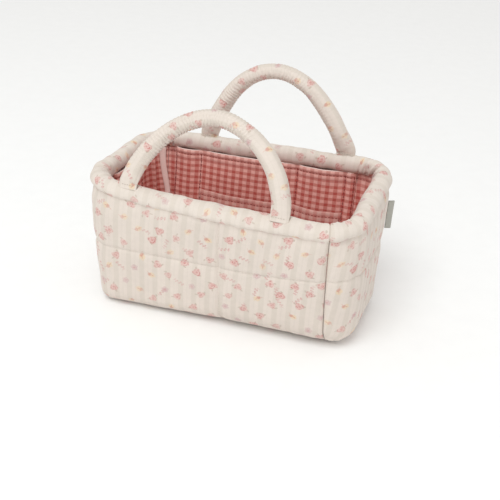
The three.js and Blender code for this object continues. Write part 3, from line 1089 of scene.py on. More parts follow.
@dataclass(frozen=True)
class Cloth:
    """A plain woven or felted cloth of one hue, mottled and with its own grain."""

    name: str
    ground: Colour
    thread: float = 0.35
    mottle: float = 0.07
    sheen: float = 0.12
    roughness: float = 0.88
    relief: float = 0.05
    under: float = 0.94

    def colour(self, graph: Graph, effects: Effects, cloth: Socket, over: Socket) -> Socket:
        """Colour of the cloth before its mottling: the ground where threads pass over, darker under."""
        return graph.mix(over, tuple(self.under * part for part in self.ground), self.ground)

    def build(self, effects: Effects) -> bpy.types.Material:
        """Builds the material.

        Args:
            effects: The shared node groups.

        Returns:
            The material.
        """
        material, graph = new_material(self.name)
        cloth = graph.node("ShaderNodeUVMap", uv_map=CLOTH_MAP).outputs[0]
        weave = graph.group(effects.weave, {"Cloth": cloth, "Thread": self.thread})
        colour = self.colour(graph, effects, cloth, weave.outputs["Over"])
        mottle = graph.group(effects.mottle, {"Cloth": cloth, "Colour": colour, "Amount": self.mottle})
        relief = {"Height": weave.outputs["Height"], "Distance": self.relief * MM, "Strength": 0.4}
        inputs = {
            "Base Color": mottle.outputs[0],
            "Normal": graph.node("ShaderNodeBump", relief).outputs[0],
            "Roughness": self.roughness,
            "Sheen Weight": self.sheen,
            "Sheen Roughness": 0.5,
            "Specular IOR Level": 0.2,
        }
        finish_material(graph, inputs)
        return material


@dataclass(frozen=True)
class PrintedCotton(Cloth):
    """Cream cotton with woven stripes, and a scattered print of roses, buds, blossoms and sprigs.

    The kinds of motif share the numbers from 0 to 1: roses up to rose_share, then buds, then blossoms. A
    copy can add painted shade and a painted pink reflection towards one edge.
    """

    band: Colour = screen(217, 206, 195)
    petal: Colour = screen(221, 174, 168)
    line: Colour = screen(194, 116, 113)
    bud_colour: Colour = screen(230, 204, 168)
    cup: Colour = screen(206, 142, 124)
    blossom: Colour = screen(207, 180, 179)
    leaf: Colour = screen(184, 166, 150)
    twig: Colour = screen(206, 150, 148)
    # Painted shade: a darker, pinker multiplier standing in for shade and the lining's pink reflection.
    shade: Colour = (0.84, 0.745, 0.745)
    stripe_period: float = 11.25
    spacing: float = 15.8
    twig_share: float = 0.4
    rose_share: float = 0.52
    bud_share: float = 0.82
    blossom_share: float = 0.98
    # Painted shade: the distance across the cloth where it starts and the distance over which it grows; None
    # paints none.
    painted_shade_from: float | None = None
    painted_shade_width: float = 13.0

    def colour(self, graph: Graph, effects: Effects, cloth: Socket, over: Socket) -> Socket:
        """Colour of the print before its mottling, with painted shade towards one edge where that is asked
        for.

        Args:
            graph: The material's graph.
            effects: The shared node groups.
            cloth: Cloth coordinates in metres.
            over: 1 where a thread along one direction lies on top.

        Returns:
            The colour.
        """
        stripes = {
            "Cloth": cloth,
            "Period": self.stripe_period,
            "Ground": super().colour(graph, effects, cloth, over),
            "Band": self.band,
        }
        shown = graph.group(effects.stripes, stripes).outputs["Colour"]
        twigs = Motifs(graph, cloth, self.spacing, -17.0, 0.6)
        motifs = Motifs(graph, cloth, self.spacing, 31.0, 0.42)
        patchy = graph.noise(cloth, 700.0).step(0.3, 0.6) * 0.4 + 0.6
        ink = patchy * (motifs.draw * 0.4 + 0.7)
        leaf, petal, line = motifs.rose(motifs.between(-1.0, self.rose_share))
        bud, cup = motifs.bud(motifs.between(self.rose_share, self.bud_share))
        blossom, heart = motifs.blossom(motifs.between(self.bud_share, self.blossom_share))
        for mask, share, tint in (
            (twigs.sprig(twigs.between(0.0, self.twig_share)), 0.8, self.twig),
            (leaf, 0.7, self.leaf),
            (petal, 0.7, self.petal),
            (line, 0.95, self.line),
            (bud, 0.7, self.bud_colour),
            (cup, 0.75, self.cup),
            (blossom, 0.75, self.blossom),
            (heart, 0.6, self.twig),
        ):
            shown = graph.mix(mask * share * ink, shown, tint)
        # Painted shade: past a distance across the cloth, the print is multiplied by the darker, pinker
        # shade colour.
        if self.painted_shade_from is None:
            return shown
        _, run = graph.parts(graph.scaled(cloth, 1 / MM))
        share = run.step(self.painted_shade_from, self.painted_shade_from + self.painted_shade_width)
        return graph.mix(share, shown, graph.vector("MULTIPLY", shown, self.shade))


@dataclass(frozen=True)
class CheckedCotton(Cloth):
    """Gingham of two hues, its checks a little wider than high, with painted light near its top edge."""

    dark: Colour = screen(188, 92, 84)
    half: Colour = screen(207, 129, 119)
    # Painted light: the paler pink that the checks turn towards near the top edge, how far down that
    # reaches, and how strongly.
    painted_light: Colour = screen(238, 196, 186)
    painted_light_depth: float = 16.0
    painted_light_share: float = 0.3
    across: float = 3.45
    up: float = 2.58

    def colour(self, graph: Graph, effects: Effects, cloth: Socket, over: Socket) -> Socket:
        """Colour of the checks before their mottling.

        Args:
            graph: The material's graph.
            effects: The shared node groups.
            cloth: Cloth coordinates in metres.
            over: 1 where a thread along one direction lies on top.

        Returns:
            The colour.
        """
        inputs = {"Cloth": cloth, "Across": self.across, "Up": self.up, "Over": over}
        inputs |= {"Dark": self.dark, "Half": self.half, "Light": self.ground}
        shown = graph.group(effects.gingham, inputs).outputs["Colour"]
        _, up = graph.parts(graph.scaled(cloth, 1 / MM))
        # Painted light: near the top edge the checks are mixed towards the paler pink, standing in for the
        # light that reaches the top of the lining and pockets.
        return graph.mix(up.step(-self.painted_light_depth, -1.0) * self.painted_light_share, shown, self.painted_light)


class Finish(Enum):
    """The cloths and threads of the basket."""

    PRINT = PrintedCotton("printed_cotton", screen(228, 216, 206))
    # The roll's print, with painted shade and a painted pink reflection of the lining on the roll's inner
    # side.
    ROLL_PRINT_PAINTED_SHADE = PrintedCotton(
        "roll_printed_cotton_painted_shade", screen(228, 217, 207), band=screen(219, 208, 197), painted_shade_from=22.5
    )
    CHECKS = CheckedCotton("checked_cotton", screen(240, 184, 174), mottle=0.09)
    PALE_CHECKS = CheckedCotton(
        "pale_checked_cotton",
        screen(232, 188, 178),
        mottle=0.09,
        dark=screen(190, 98, 90),
        half=screen(214, 142, 132),
    )
    WADDING = Cloth("wadding_fibre", screen(246, 246, 244), thread=0.9, mottle=0.1, relief=0.3)
    BINDING = Cloth("pink_binding", screen(248, 220, 212))
    ROPE = Cloth("twisted_rope", screen(228, 219, 200), thread=0.8, relief=0.15)
    TAPE = Cloth("grey_tape", screen(178, 177, 169), thread=0.28, sheen=0.3, roughness=0.5)
    CREAM_THREAD = Cloth("cream_thread", screen(238, 230, 218), thread=0.2, mottle=0.12)
    # Grey thread of the handles' feet: real stitches whose dark tone also paints the thin contact shadow
    # along each foot's base.
    GREY_THREAD_PAINTED_SHADOW = Cloth("grey_thread_painted_shadow", screen(192, 180, 168), thread=0.2, mottle=0.12)
    # Dark rose thread of the hems and seams: real stitches whose dark tone also paints the shade in the seam
    # creases.
    ROSE_THREAD = Cloth("rose_thread", screen(142, 58, 52), thread=0.2, mottle=0.12)


class Wardrobe:
    """Makes each finish once and puts it on the pieces."""

    def __init__(self) -> None:
        """Builds the materials."""
        effects = Effects()
        self.made = {finish: finish.value.build(effects) for finish in Finish}

    def dress(
        self, piece: Piece, finish: Finish, slot: str, *nodes: str, body: str | None = "basket"
    ) -> None:
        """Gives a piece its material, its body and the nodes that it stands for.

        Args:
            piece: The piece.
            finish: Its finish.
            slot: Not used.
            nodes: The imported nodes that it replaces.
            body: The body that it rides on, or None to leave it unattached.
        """
        piece.data.materials.append(self.made[finish])
        if body is not None:
            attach(piece, body)
        if nodes:
            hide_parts(*nodes)
        LOG.info("%s: %d faces, %s", piece.name, len(piece.data.polygons), finish.value.name)


@dataclass
class Walls:
    """The quilted walls: printed cloth outside, fibre filling, and checked lining inside."""

    form: BasketForm
    wardrobe: Wardrobe
    step: float = 0.95
    coarse_step: float = 3.0
    cloth: float = 0.8
    lining_cloth: float = 0.6
    filling_gap: float = 0.5
    filling_rows: int = 44
    seam_gap: float = 0.3
    groove_height: float = 106.8
    lining_top: float = 104.2
    filling_top: float = 100.5
    edge_radius: float = 17.0
    floor_edge_radius: float = 7.0
    last_angle: float = 78.0
    middle_height: float = 61.5
    corner_lift: float = 6.0
    corner_lift_width: float = 45.0
    front_line: float = 85.0
    front_line_slope: float = 4.5
    puff: float = 2.4
    sunk: float = 1.7
    left_fullness: float = 1.1
    hem_drop: float = 4.3
    quilting_thread: float = 0.16
    middle_groove: Groove = Groove(0.7, 0.8)
    upright_groove: Groove = Groove(1.2, 1.0)
    seam_groove: Groove = Groove(0.9, 1.0)
    base_groove: Groove = Groove(0.6, 1.2)
    hem_ridge: Groove = Groove(0.35, 0.8)
    hem_groove: Groove = Groove(0.45, 1.4)
    corner_fold: Groove = Groove(2.6, 2.6)
    corner_fold_turn: float = 5.62
    tightness: Relief = Relief(15, 1.0, (60, 60, 1))
    sway: Relief = Relief(11, 0.55, (46, 46, 40))
    folds: Relief = Relief(12, 0.45, (13, 13, 70))
    gathers: Relief = Relief(13, 0.5, (4.6, 4.6, 24))
    crumples: Relief = Relief(14, 0.20, (9, 9, 12))
    corner_folds: Relief = Relief(15, 0.5, (8, 8, 55))
    slants: Relief = Relief(16, 0.26, (13, 13, 30))
    lining_crumples: Relief = Relief(14, 0.12, (8, 11, 8))
    lining_folds: Relief = Relief(12, 0.6, (6, 6, 50))
    lining_gathers: Relief = Relief(13, 0.14, (4, 4, 20))
    lining_sway: Relief = Relief(11, 0.10, (30, 30, 30))

    def outer_profile(self, step: float, top: float) -> Profile:
        """Rows of the outer cloth."""
        return self.form.profile(0.0, 0.0, self.edge_radius, top, self.last_angle, step)

    def lining_profile(self, step: float, top: float) -> Profile:
        """Rows of the lining's inner face."""
        depth = self.form.wall_thickness
        return self.form.profile(depth, depth, self.floor_edge_radius, top, self.last_angle, step)

    def middle_line(self, turns: Array) -> Array:
        """Height of the quilting line that runs round the walls."""
        off_corner = self.form.lap_arc(turns) - self.form.ends[1:3].sum() / 2
        return self.middle_height + self.corner_lift * valley(off_corner, self.corner_lift_width)

    def upright_lines(self, z: Array) -> list[Array]:
        """Lengths along the rim at which the upright quilting lines stand, by height."""
        lean = self.front_line_slope * (1 - z / self.form.wall_top)
        return [self.front_line + lean, np.full_like(lean, self.form.ends[4:6].sum() / 2)]

    def outer_lift(self, turns: Array, profile: Profile) -> Array:
        """How far the outer cloth stands out from its nominal place: puffs, grooves and folds.

        Args:
            turns: Stations round the basket.
            profile: Rows of the layer.

        Returns:
            Lift by station and row.
        """
        x, y = self.form.plan(turns)
        z, run = profile.z[None, :], profile.run[None, :] + self.groove_height - profile.z[0]
        arc = self.form.lap_arc(turns)[:, None]
        to_middle = np.abs(z - self.middle_line(turns)[:, None])
        to_base = profile.run[-1] - profile.run[None, :]
        to_side = self.form.seam_distance(turns)
        to_upright = np.minimum(*[np.abs(arc - line) for line in self.upright_lines(z)])
        corner = self.form.corner_share(turns)
        end_wall = ramp(np.abs(x), 90, 108)
        drawn_in = 0.25 + 0.3 * ramp(self.tightness.at(x, y, 0.5), -0.5, 0.5)
        puffed = pillow(run, 7) * (1 - drawn_in * (1 - pillow(to_middle, 4)))
        puffed = puffed * pillow(to_side, 5) * pillow(to_base, 9)
        lift = self.puff * puffed * (0.6 + 0.4 * pillow(to_upright, 4)) - self.sunk
        left = ramp(self.form.off_left(turns)[:, None], 1.0, 0.2)
        lift += self.left_fullness * left * pillow(run, 9)
        lift += self.sway.at(x, y, z) * ramp(run, 0, 14)
        folds = (1 + end_wall) * self.folds.at(x, y, z)
        lift += folds * (0.3 + np.exp(-run / 24)) * ramp(run, 0.5, 6)
        near = np.minimum(np.minimum(to_middle, run), to_base)
        lift += self.gathers.at(x, y, z) * np.exp(-near / 8) * ramp(near, 0.2, 2.5)
        lift += self.crumples.at(x, y, z)
        lift += (corner + 0.5 * end_wall) * self.corner_folds.at(x, y, z) * ramp(run, 1, 8)
        lift += self.slants.at(x + z, y + z, z) * (0.4 + corner)
        lift = lift - self.middle_groove.at(to_middle) - self.upright_groove.at(to_upright)
        lift = lift - self.seam_groove.at(to_side) + 0.3 * np.exp(-run / 1.5) - self.base_groove.at(to_base)
        return lift * (1 - 0.75 * ramp(profile.lean, 0.7, 1.36))

    def lining_lift(self, turns: Array, profile: Profile) -> Array:
        """How far the lining lies outwards of its nominal place.

        Args:
            turns: Stations round the basket.
            profile: Rows of the layer.

        Returns:
            Lift by station and row.
        """
        x, y = self.form.plan(turns)
        z, run = profile.z[None, :], profile.run[None, :] + self.lining_top - profile.z[0]
        to_middle = np.abs(z - self.middle_line(turns)[:, None])
        to_hem = np.abs(run - self.hem_drop)
        puffed = pillow(to_hem, 5) * pillow(to_middle, 6) * pillow(self.form.seam_distance(turns), 5)
        corner = self.form.corner_share(turns)
        lift = 0.75 - 0.9 * puffed + self.lining_crumples.at(x, z, y)
        lift -= corner * self.lining_folds.at(x, y, z) * ramp(run, 0, 6)
        lift = lift + self.hem_ridge.at(to_hem) - self.hem_groove.at(run - self.hem_drop * 0.45)
        lift += self.lining_gathers.at(x, y, z) * np.exp(-to_hem / 5)
        lift = np.clip(lift + self.lining_sway.at(x, y, z), -0.2, 1.4)
        arc = self.form.lap_arc(turns)[:, None]
        off_fold = arc - self.form.arc_at(self.corner_fold_turn) - 0.10 * (z - 90)
        return lift - self.corner_fold.at(off_fold) * ramp(run, 1, 14)

    def between(
        self, name: str, turns: Array, outer: tuple[Profile, Array], inner: tuple[Profile, Array]
    ) -> tuple[Piece, Surface]:
        """Builds a piece between two faces, with its cloth coordinates measured along the first.

        Args:
            name: Name of the piece.
            turns: Stations round the basket.
            outer: Rows and lift of the outer face.
            inner: Rows and lift of the inner face.

        Returns:
            The new object and its outer face.
        """
        shift = np.zeros((len(turns), 1))
        shift[0], shift[-1] = self.seam_gap / 2, -self.seam_gap / 2
        front = self.form.layer(turns, *outer, shift)
        faces = (front, self.form.layer(turns, *inner, shift))
        cloth = pairs(self.across(turns, outer[0]), -outer[0].run)
        return make_cloth(name, faces, cloth), Surface(front)

    def across(self, turns: Array, profile: Profile) -> Array:
        """Measures a layer along the cloth.

        Args:
            turns: Stations round the basket.
            profile: Rows of the layer.

        Returns:
            Length along the flat cut from its middle, by station and row.
        """
        flat = self.form.layer(turns, profile, np.zeros((len(turns), len(profile.run))))
        across = run_along(flat.transpose(1, 0, 2)).T
        return across - across[len(turns) // 2]

    def declare(self, turns: Array, profile: Profile) -> None:
        """Measures a panel's flat width, area and size, and keeps none of them.

        Args:
            turns: Its stations.
            profile: Its rows.
        """
        across = self.across(turns, profile)
        width = (across[-1] - across[0]) * MM
        area = float(np.trapz(width, profile.run)) * MM
        size = (width.max(), profile.run[-1] * MM)

    def build(self) -> None:
        """Builds the panel, the filling and the lining of each wall, and sews them."""
        quilting, hem = Patch(), Patch()
        for span in self.form.spans():
            wall = span.side.value
            coarse = self.form.stations(span.start, span.stop, self.coarse_step)
            outside = self.outer_profile(self.coarse_step, self.filling_top)
            inside = self.lining_profile(self.coarse_step, self.filling_top)
            outer_room = self.outer_lift(coarse, outside) - self.cloth - self.filling_gap
            inner_room = self.lining_lift(coarse, inside) + self.lining_cloth + self.filling_gap
            filling = self.filling(wall, coarse, (outside, outer_room), (inside, inner_room))
            self.wardrobe.dress(filling, Finish.WADDING, "wadding", f"{wall}_wadding")

            turns = self.form.stations(span.start, span.stop, self.step)
            rows = self.outer_profile(self.step, self.groove_height)
            lift = self.outer_lift(turns, rows)
            panel, face = self.between(f"{wall}_panel", turns, (rows, lift), (rows, lift - self.cloth))
            self.wardrobe.dress(panel, Finish.PRINT, "printed_cloth", f"outer_{wall}_panel")
            self.declare(turns, rows)
            self.quilt(quilting, span, turns, rows, face)

            rows = self.lining_profile(self.step, self.lining_top)
            lift = self.lining_lift(turns, rows)
            faces = (rows, lift + self.lining_cloth), (rows, lift)
            lining, _ = self.between(f"{wall}_checked_lining", turns, *faces)
            self.wardrobe.dress(lining, Finish.CHECKS, "checked_cloth", f"{wall}_lining")
            self.declare(turns, rows)
            inner = Surface(self.form.layer(turns, rows, lift))
            row = rows.row_at(self.lining_top - self.hem_drop)
            hem.sew(inner, np.arange(2.0, len(turns) - 2), row, -self.form.outward(turns[2:-2]))
        thread = quilting.piece("quilting_stitches")
        self.wardrobe.dress(thread, Finish.CREAM_THREAD, "printed_cloth")
        thread = hem.piece("lining_hem_stitches")
        self.wardrobe.dress(thread, Finish.ROSE_THREAD, "checked_cloth")

    def filling(
        self, wall: str, turns: Array, outer: tuple[Profile, Array], inner: tuple[Profile, Array]
    ) -> Piece:
        """Builds the fibre filling of a wall, both of its faces with the same number of rows.

        Args:
            wall: Name of the wall.
            turns: Stations round the basket.
            outer: Rows and lift of its outer face.
            inner: Those of its inner face.

        Returns:
            The new object.
        """
        faces = []
        for profile, lift in (outer, inner):
            known = np.arange(len(profile.run))
            place = np.linspace(0, 1, self.filling_rows) * known[-1]
            lines = (profile.run, profile.z, profile.inset, profile.lean)
            parts = [np.interp(place, known, line) for line in lines]
            spread = interpolate(place, known, lift.T).T
            faces.append((Profile(*parts, profile.depth, profile.floor, profile.radius), spread))
        return self.between(f"{wall}_fibre_filling", turns, *faces)[0]

    def quilt(self, patch: Patch, span: Span, turns: Array, rows: Profile, face: Surface) -> None:
        """Sews the quilting lines of one panel.

        Args:
            patch: Takes the stitches.
            span: Stretch of the panel.
            turns: Its stations.
            rows: Its rows.
            face: Its outer face.
        """
        out = self.form.outward(turns)
        stations = np.arange(2.0, len(turns) - 2)
        row = rows.row_at(self.middle_line(turns[2:-2]))
        patch.sew(face, stations, row, out[2:-2], radius=self.quilting_thread)
        if span.side in (Side.FRONT, Side.BACK):
            z = np.linspace(self.groove_height - 4, 10, 100)
            line = self.upright_lines(z)[0 if span.side is Side.FRONT else 1]
            place = np.interp(line, self.form.arc_at(turns), np.arange(len(turns)))
            patch.sew(face, place, rows.row_at(z), out[place.astype(int)], radius=self.quilting_thread)


@dataclass
class Base:
    """The floor of the basket: printed cloth under it, filling, and checked lining."""

    form: BasketForm
    wardrobe: Wardrobe
    walls: Walls
    rings: int = 26
    step: float = 3.0
    innermost: float = 0.02
    edge_gap: float = 0.5
    filling_inset: float = 0.6
    cloth_heights: tuple[float, float] = (0.05, 0.75)
    filling_heights: tuple[float, float] = (1.4, 7.9)
    lining_heights: tuple[float, float] = (8.5, 9.1)
    lumps: Relief = Relief(71, 1.0, (24, 24, 1))
    oval_share: float = 0.96

    def plate(
        self, name: str, heights: Sequence[float], insets: Sequence[Array], lumps: Sequence[float]
    ) -> Piece:
        """Builds a closed plate between two rounded outlines.

        Args:
            name: Name of the piece.
            heights: Heights of its lower and its upper outline.
            insets: Insets of both outlines, by turn.
            lumps: How far both faces rise and fall.

        Returns:
            The new object.
        """
        shares = np.linspace(self.innermost, 1, self.rings)
        loops = []
        for z, inset, lump, order in zip(heights, insets, lumps, (shares, shares[::-1])):
            edge = self.form.wall_point(self.turns(), np.full(len(inset), z), inset)
            for share in order:
                ring = edge * np.array([share, share, 1.0])
                ring[:, 2] += lump * (1 - share**6) * (1 + self.lumps.at(ring[:, 0], ring[:, 1], z)) / 2
                loops.append(ring)
        points = np.stack(loops)
        patch = Patch()
        patch.tube(points, np.concatenate([points[..., :2], points[:, :1, :2]], 1))
        return patch.piece(name)

    def turns(self) -> Array:
        """Turns of the plates' points."""
        return self.form.stations(0, TURNS, self.step)[:-1]

    def build(self) -> None:
        """Builds the three layers."""
        walls = self.walls
        reach = (1 - math.cos(math.radians(walls.last_angle))) * self.form.edge_share(self.turns())
        outer = walls.edge_radius * reach + self.edge_gap
        inner = self.form.wall_thickness + walls.floor_edge_radius * reach + self.edge_gap
        layers = (
            ("base_cloth", self.cloth_heights, (outer, outer), (0.25, 0.25)),
            ("base_fibre_filling", self.filling_heights, (outer + self.filling_inset, inner), (0.2, 0.4)),
            ("base_checked_lining", self.lining_heights, (inner, inner), (0.5, 0.5)),
        )
        under, filling, lining = (self.plate(*layer) for layer in layers)
        self.wardrobe.dress(under, Finish.PRINT, "printed_cloth", "outer_base_panel")
        self.wardrobe.dress(filling, Finish.WADDING, "wadding", "base_wadding")
        self.wardrobe.dress(lining, Finish.CHECKS, "checked_cloth", "base_lining")


@dataclass(frozen=True)
class RollSection:
    """Section of the rolled rim: an oval that is fuller outside than inside, open at its lower side."""

    middle_inset: float = 8.5
    middle_height: float = 110.25
    outer_half: float = 8.5
    inner_half: float = 7.0
    upper_half: float = 7.75
    outer_lower_half: float = 5.5
    inner_lower_half: float = 6.0
    outer_end: float = -72.0
    inner_end: float = 252.0

    def place(self, angle: Array, lift: Array) -> tuple[Array, Array]:
        """Points that stand off the oval.

        Args:
            angle: Their angles, which go from the outer side over the top.
            lift: How far they stand off.

        Returns:
            Their inset and their height.
        """
        width = np.where(np.cos(angle) > 0, self.outer_half, self.inner_half)
        lower = np.where(np.cos(angle) > 0, self.outer_lower_half, self.inner_lower_half)
        height = np.where(np.sin(angle) > 0, self.upper_half, lower)
        out, up = np.cos(angle) / width, np.sin(angle) / height
        scale = np.hypot(out, up)
        inset = self.middle_inset - width * np.cos(angle) - lift * out / scale
        return inset, self.middle_height + height * np.sin(angle) + lift * up / scale

    def angles(self, count: int, whole: bool = False) -> Array:
        """Angles of the section's rows, evenly spaced along it.

        Args:
            count: Number of rows.
            whole: Whether they go all the way round.

        Returns:
            The angles.
        """
        low, high = math.radians(self.outer_end), math.radians(self.inner_end)
        if whole:
            high = low + 2 * math.pi
        fine = np.linspace(low, high, 721)
        run = self.run(fine)
        return np.interp(np.linspace(0, run[-1], count + whole), run, fine)[:count]

    def run(self, angle: Array) -> Array:
        """Length along the section from its outer end."""
        inset, z = self.place(angle, np.zeros_like(angle))
        return run_along(np.stack([inset, z], -1))


@dataclass
class Rim:
    """The padded roll round the mouth: printed cloth over fibre filling."""

    form: BasketForm
    wardrobe: Wardrobe
    feet: Sequence[tuple[float, float]]
    section: RollSection = RollSection()
    step: float = 1.1
    rows: int = 48
    filling_rows: int = 30
    cloth: float = 0.8
    filling_gap: float = 0.6
    foot_half_width: float = 6.4
    foot_half_depth: float = 2.5
    foot_dent: float = 2.7
    foot_mound: Groove = Groove(0.4, 1.4)
    corner_creases: int = 9
    pinch: tuple[float, float, float] = (4.4, 2.0, 95.0)
    seam_groove: Groove = Groove(1.1, 0.42)
    seam_hollow: Groove = Groove(0.45, 4.0)
    lumps: Relief = Relief(37, 0.85, (27, 27, 2))
    bumps: Relief = Relief(38, 0.6, (11, 11, 1.3))
    corner_bumps: Relief = Relief(38, 1.7, (7, 7, 1))
    puckers: Relief = Relief(39, 0.8, (4.6, 4.6, 2.5))
    inner_puckers: Relief = Relief(40, 0.45, (3.6, 3.6, 3))
    foot_folds: Relief = Relief(40, 0.45, (3.2, 9, 1))
    slants: Relief = Relief(41, 0.16, (7, 7, 1))
    grain: Relief = Relief(42, 0.07, (2.4, 2.4, 2.4))
    seed: int = 37

    def __post_init__(self) -> None:
        """Draws the creases inside the corners: their places, depths, widths and first angles."""
        draw = np.random.default_rng(self.seed)
        ends = self.form.ends
        self.creases = []
        for corner in (1, 3, 5, 7):
            low, high = ends[corner], ends[corner + 1]
            places = np.linspace(low + 2, high - 2, self.corner_creases)
            places += draw.uniform(-2, 2, self.corner_creases)
            for place in places:
                depth = draw.uniform(0.9, 2.7)
                self.creases.append((place, depth, draw.uniform(1.0, 1.7), draw.uniform(95, 140)))
            self.creases.append(((low + high) / 2 + draw.uniform(-3, 3), *self.pinch))

    def lift(self, turns: Array, angle: Array) -> Array:
        """How far the roll's cloth stands off its oval.

        Args:
            turns: Stations round the rim.
            angle: Angles of its rows.

        Returns:
            Lift by station and row.
        """
        x, y = self.form.plan(turns)
        arc = self.form.lap_arc(turns)[:, None]
        run = self.section.run(angle)[None, :]
        from_end = run[:, -1:] - run
        swing = angle[None, :]
        degrees = np.degrees(swing)
        lift = self.lumps.at(x, y, swing) + self.bumps.at(x, y, swing)
        lift += self.puckers.at(x, y, swing) * np.exp(-run / 6.5) * ramp(run, 0.3, 2)
        lift += self.inner_puckers.at(x, y, swing) * np.exp(-from_end / 6)
        lift = lift + self.slants.at(x + 0.8 * run, y + 0.8 * run, swing) + self.grain.at(x, y, run)
        inside = ramp(degrees, 75, 130) * self.form.corner_share(turns) * ramp(from_end, 0, 6)
        lift += inside * self.corner_bumps.at(x, y, swing + 3.0)
        to_seam = self.form.seam_distance(turns)
        lift = lift - self.seam_groove.at(to_seam) - self.seam_hollow.at(to_seam)
        for place, depth, width, first in self.creases:
            bent = arc - place - 0.05 * (degrees - 180)
            inside = ramp(degrees, first, first + 40) * ramp(from_end, 0, 6)
            lift -= depth * valley(bent, width) * inside
        return lift + self.foot_lift(turns, angle)

    def foot_lift(self, turns: Array, angle: Array) -> Array:
        """Dents and small folds at the handles' feet.

        Args:
            turns: Stations round the rim.
            angle: Angles of its rows.

        Returns:
            Lift by station and row.
        """
        inset, z = self.section.place(angle, np.zeros_like(angle))
        heights = np.broadcast_to(z, (len(turns), len(z)))
        points = self.form.rim_point(turns[:, None], inset[None, :], heights)
        total = np.zeros(points.shape[:2])
        for foot_x, foot_y in self.feet:
            along = np.abs(points[..., 0] - foot_x)
            across = points[..., 1] - foot_y
            outside = np.hypot(
                np.maximum(along - self.foot_half_width + 0.8, 0),
                np.maximum(np.abs(across) - self.foot_half_depth + 0.8, 0),
            )
            near = (np.sin(angle) > 0)[None, :] & (along < 40)
            dent = -self.foot_dent * ramp(0.9 - outside, -0.6, 0.7)
            folds = self.foot_folds.at(points[..., 0], points[..., 1])
            folds = folds * np.exp(-outside / 4.5) * ramp(outside, 0, 2)
            total += np.where(near, dent + folds + self.foot_mound.at(outside - 2.4), 0.0)
        return total

    def stations(self, start: float) -> Array:
        """Turns round the rim, evenly spaced but closer at the seams.

        Args:
            start: Turn of the first seam.

        Returns:
            The turns of one lap.
        """
        even = self.form.arc_at(self.form.stations(start, start + TURNS, self.step))
        near = np.array([-1.0, -0.6, -0.3, 0.0, 0.3, 0.6, 1.0])
        seams = self.form.arc_at(start + 2.0 * np.arange(1, 4))
        away = np.abs(even[:, None] - seams).min(1)
        arcs = np.concatenate([even[away > 1.3], (seams[:, None] + near).ravel()])
        return self.form.turn_at(np.sort(arcs))[:-1]

    def build(self) -> None:
        """Builds the cover and its filling."""
        start = self.form.seam_turn + 5
        turns = self.stations(start)
        angle = self.section.angles(self.rows)
        lift = self.lift(turns, angle)
        faces = [self.face(turns, angle, lift - drawn_in) for drawn_in in (0.0, self.cloth)]
        arc = self.form.arc_at(np.append(turns, start + TURNS)) - self.form.arc_at(start)
        run = self.section.run(angle)
        piece = make_cloth("rim_cloth", faces, pairs(arc[:, None], run), ring=True)
        # The roll's cloth has painted shade and a painted pink reflection on its inner side.
        self.wardrobe.dress(piece, Finish.ROLL_PRINT_PAINTED_SHADE, "printed_cloth", "rim_cover")

        turns = turns[::2]
        angle = self.section.angles(self.filling_rows, whole=True)
        lift = self.lift(turns, angle) - self.cloth - self.filling_gap
        arc = np.append(arc[:-1:2], arc[-1])
        around = np.arange(len(angle) + 1) * 1.5
        filling = Patch()
        filling.skin(self.face(turns, angle, lift), pairs(arc[:, None], around), ring=True)
        piece = filling.piece("rim_fibre_filling")
        self.wardrobe.dress(piece, Finish.WADDING, "wadding", "rim_wadding")

    def face(self, turns: Array, angle: Array, lift: Array) -> Array:
        """Points of a face of the roll that stands off the oval by a lift."""
        inset, z = self.section.place(angle[None, :], lift)
        return self.form.rim_point(np.broadcast_to(turns[:, None], inset.shape), inset, z)


@dataclass(frozen=True)
class PocketPlan:
    """One pocket: its wall, its seams from end to end, and its height."""

    name: str
    node: str
    side: Side
    seams: tuple[float, ...]
    top: float
    mouth: float
    doubled: bool


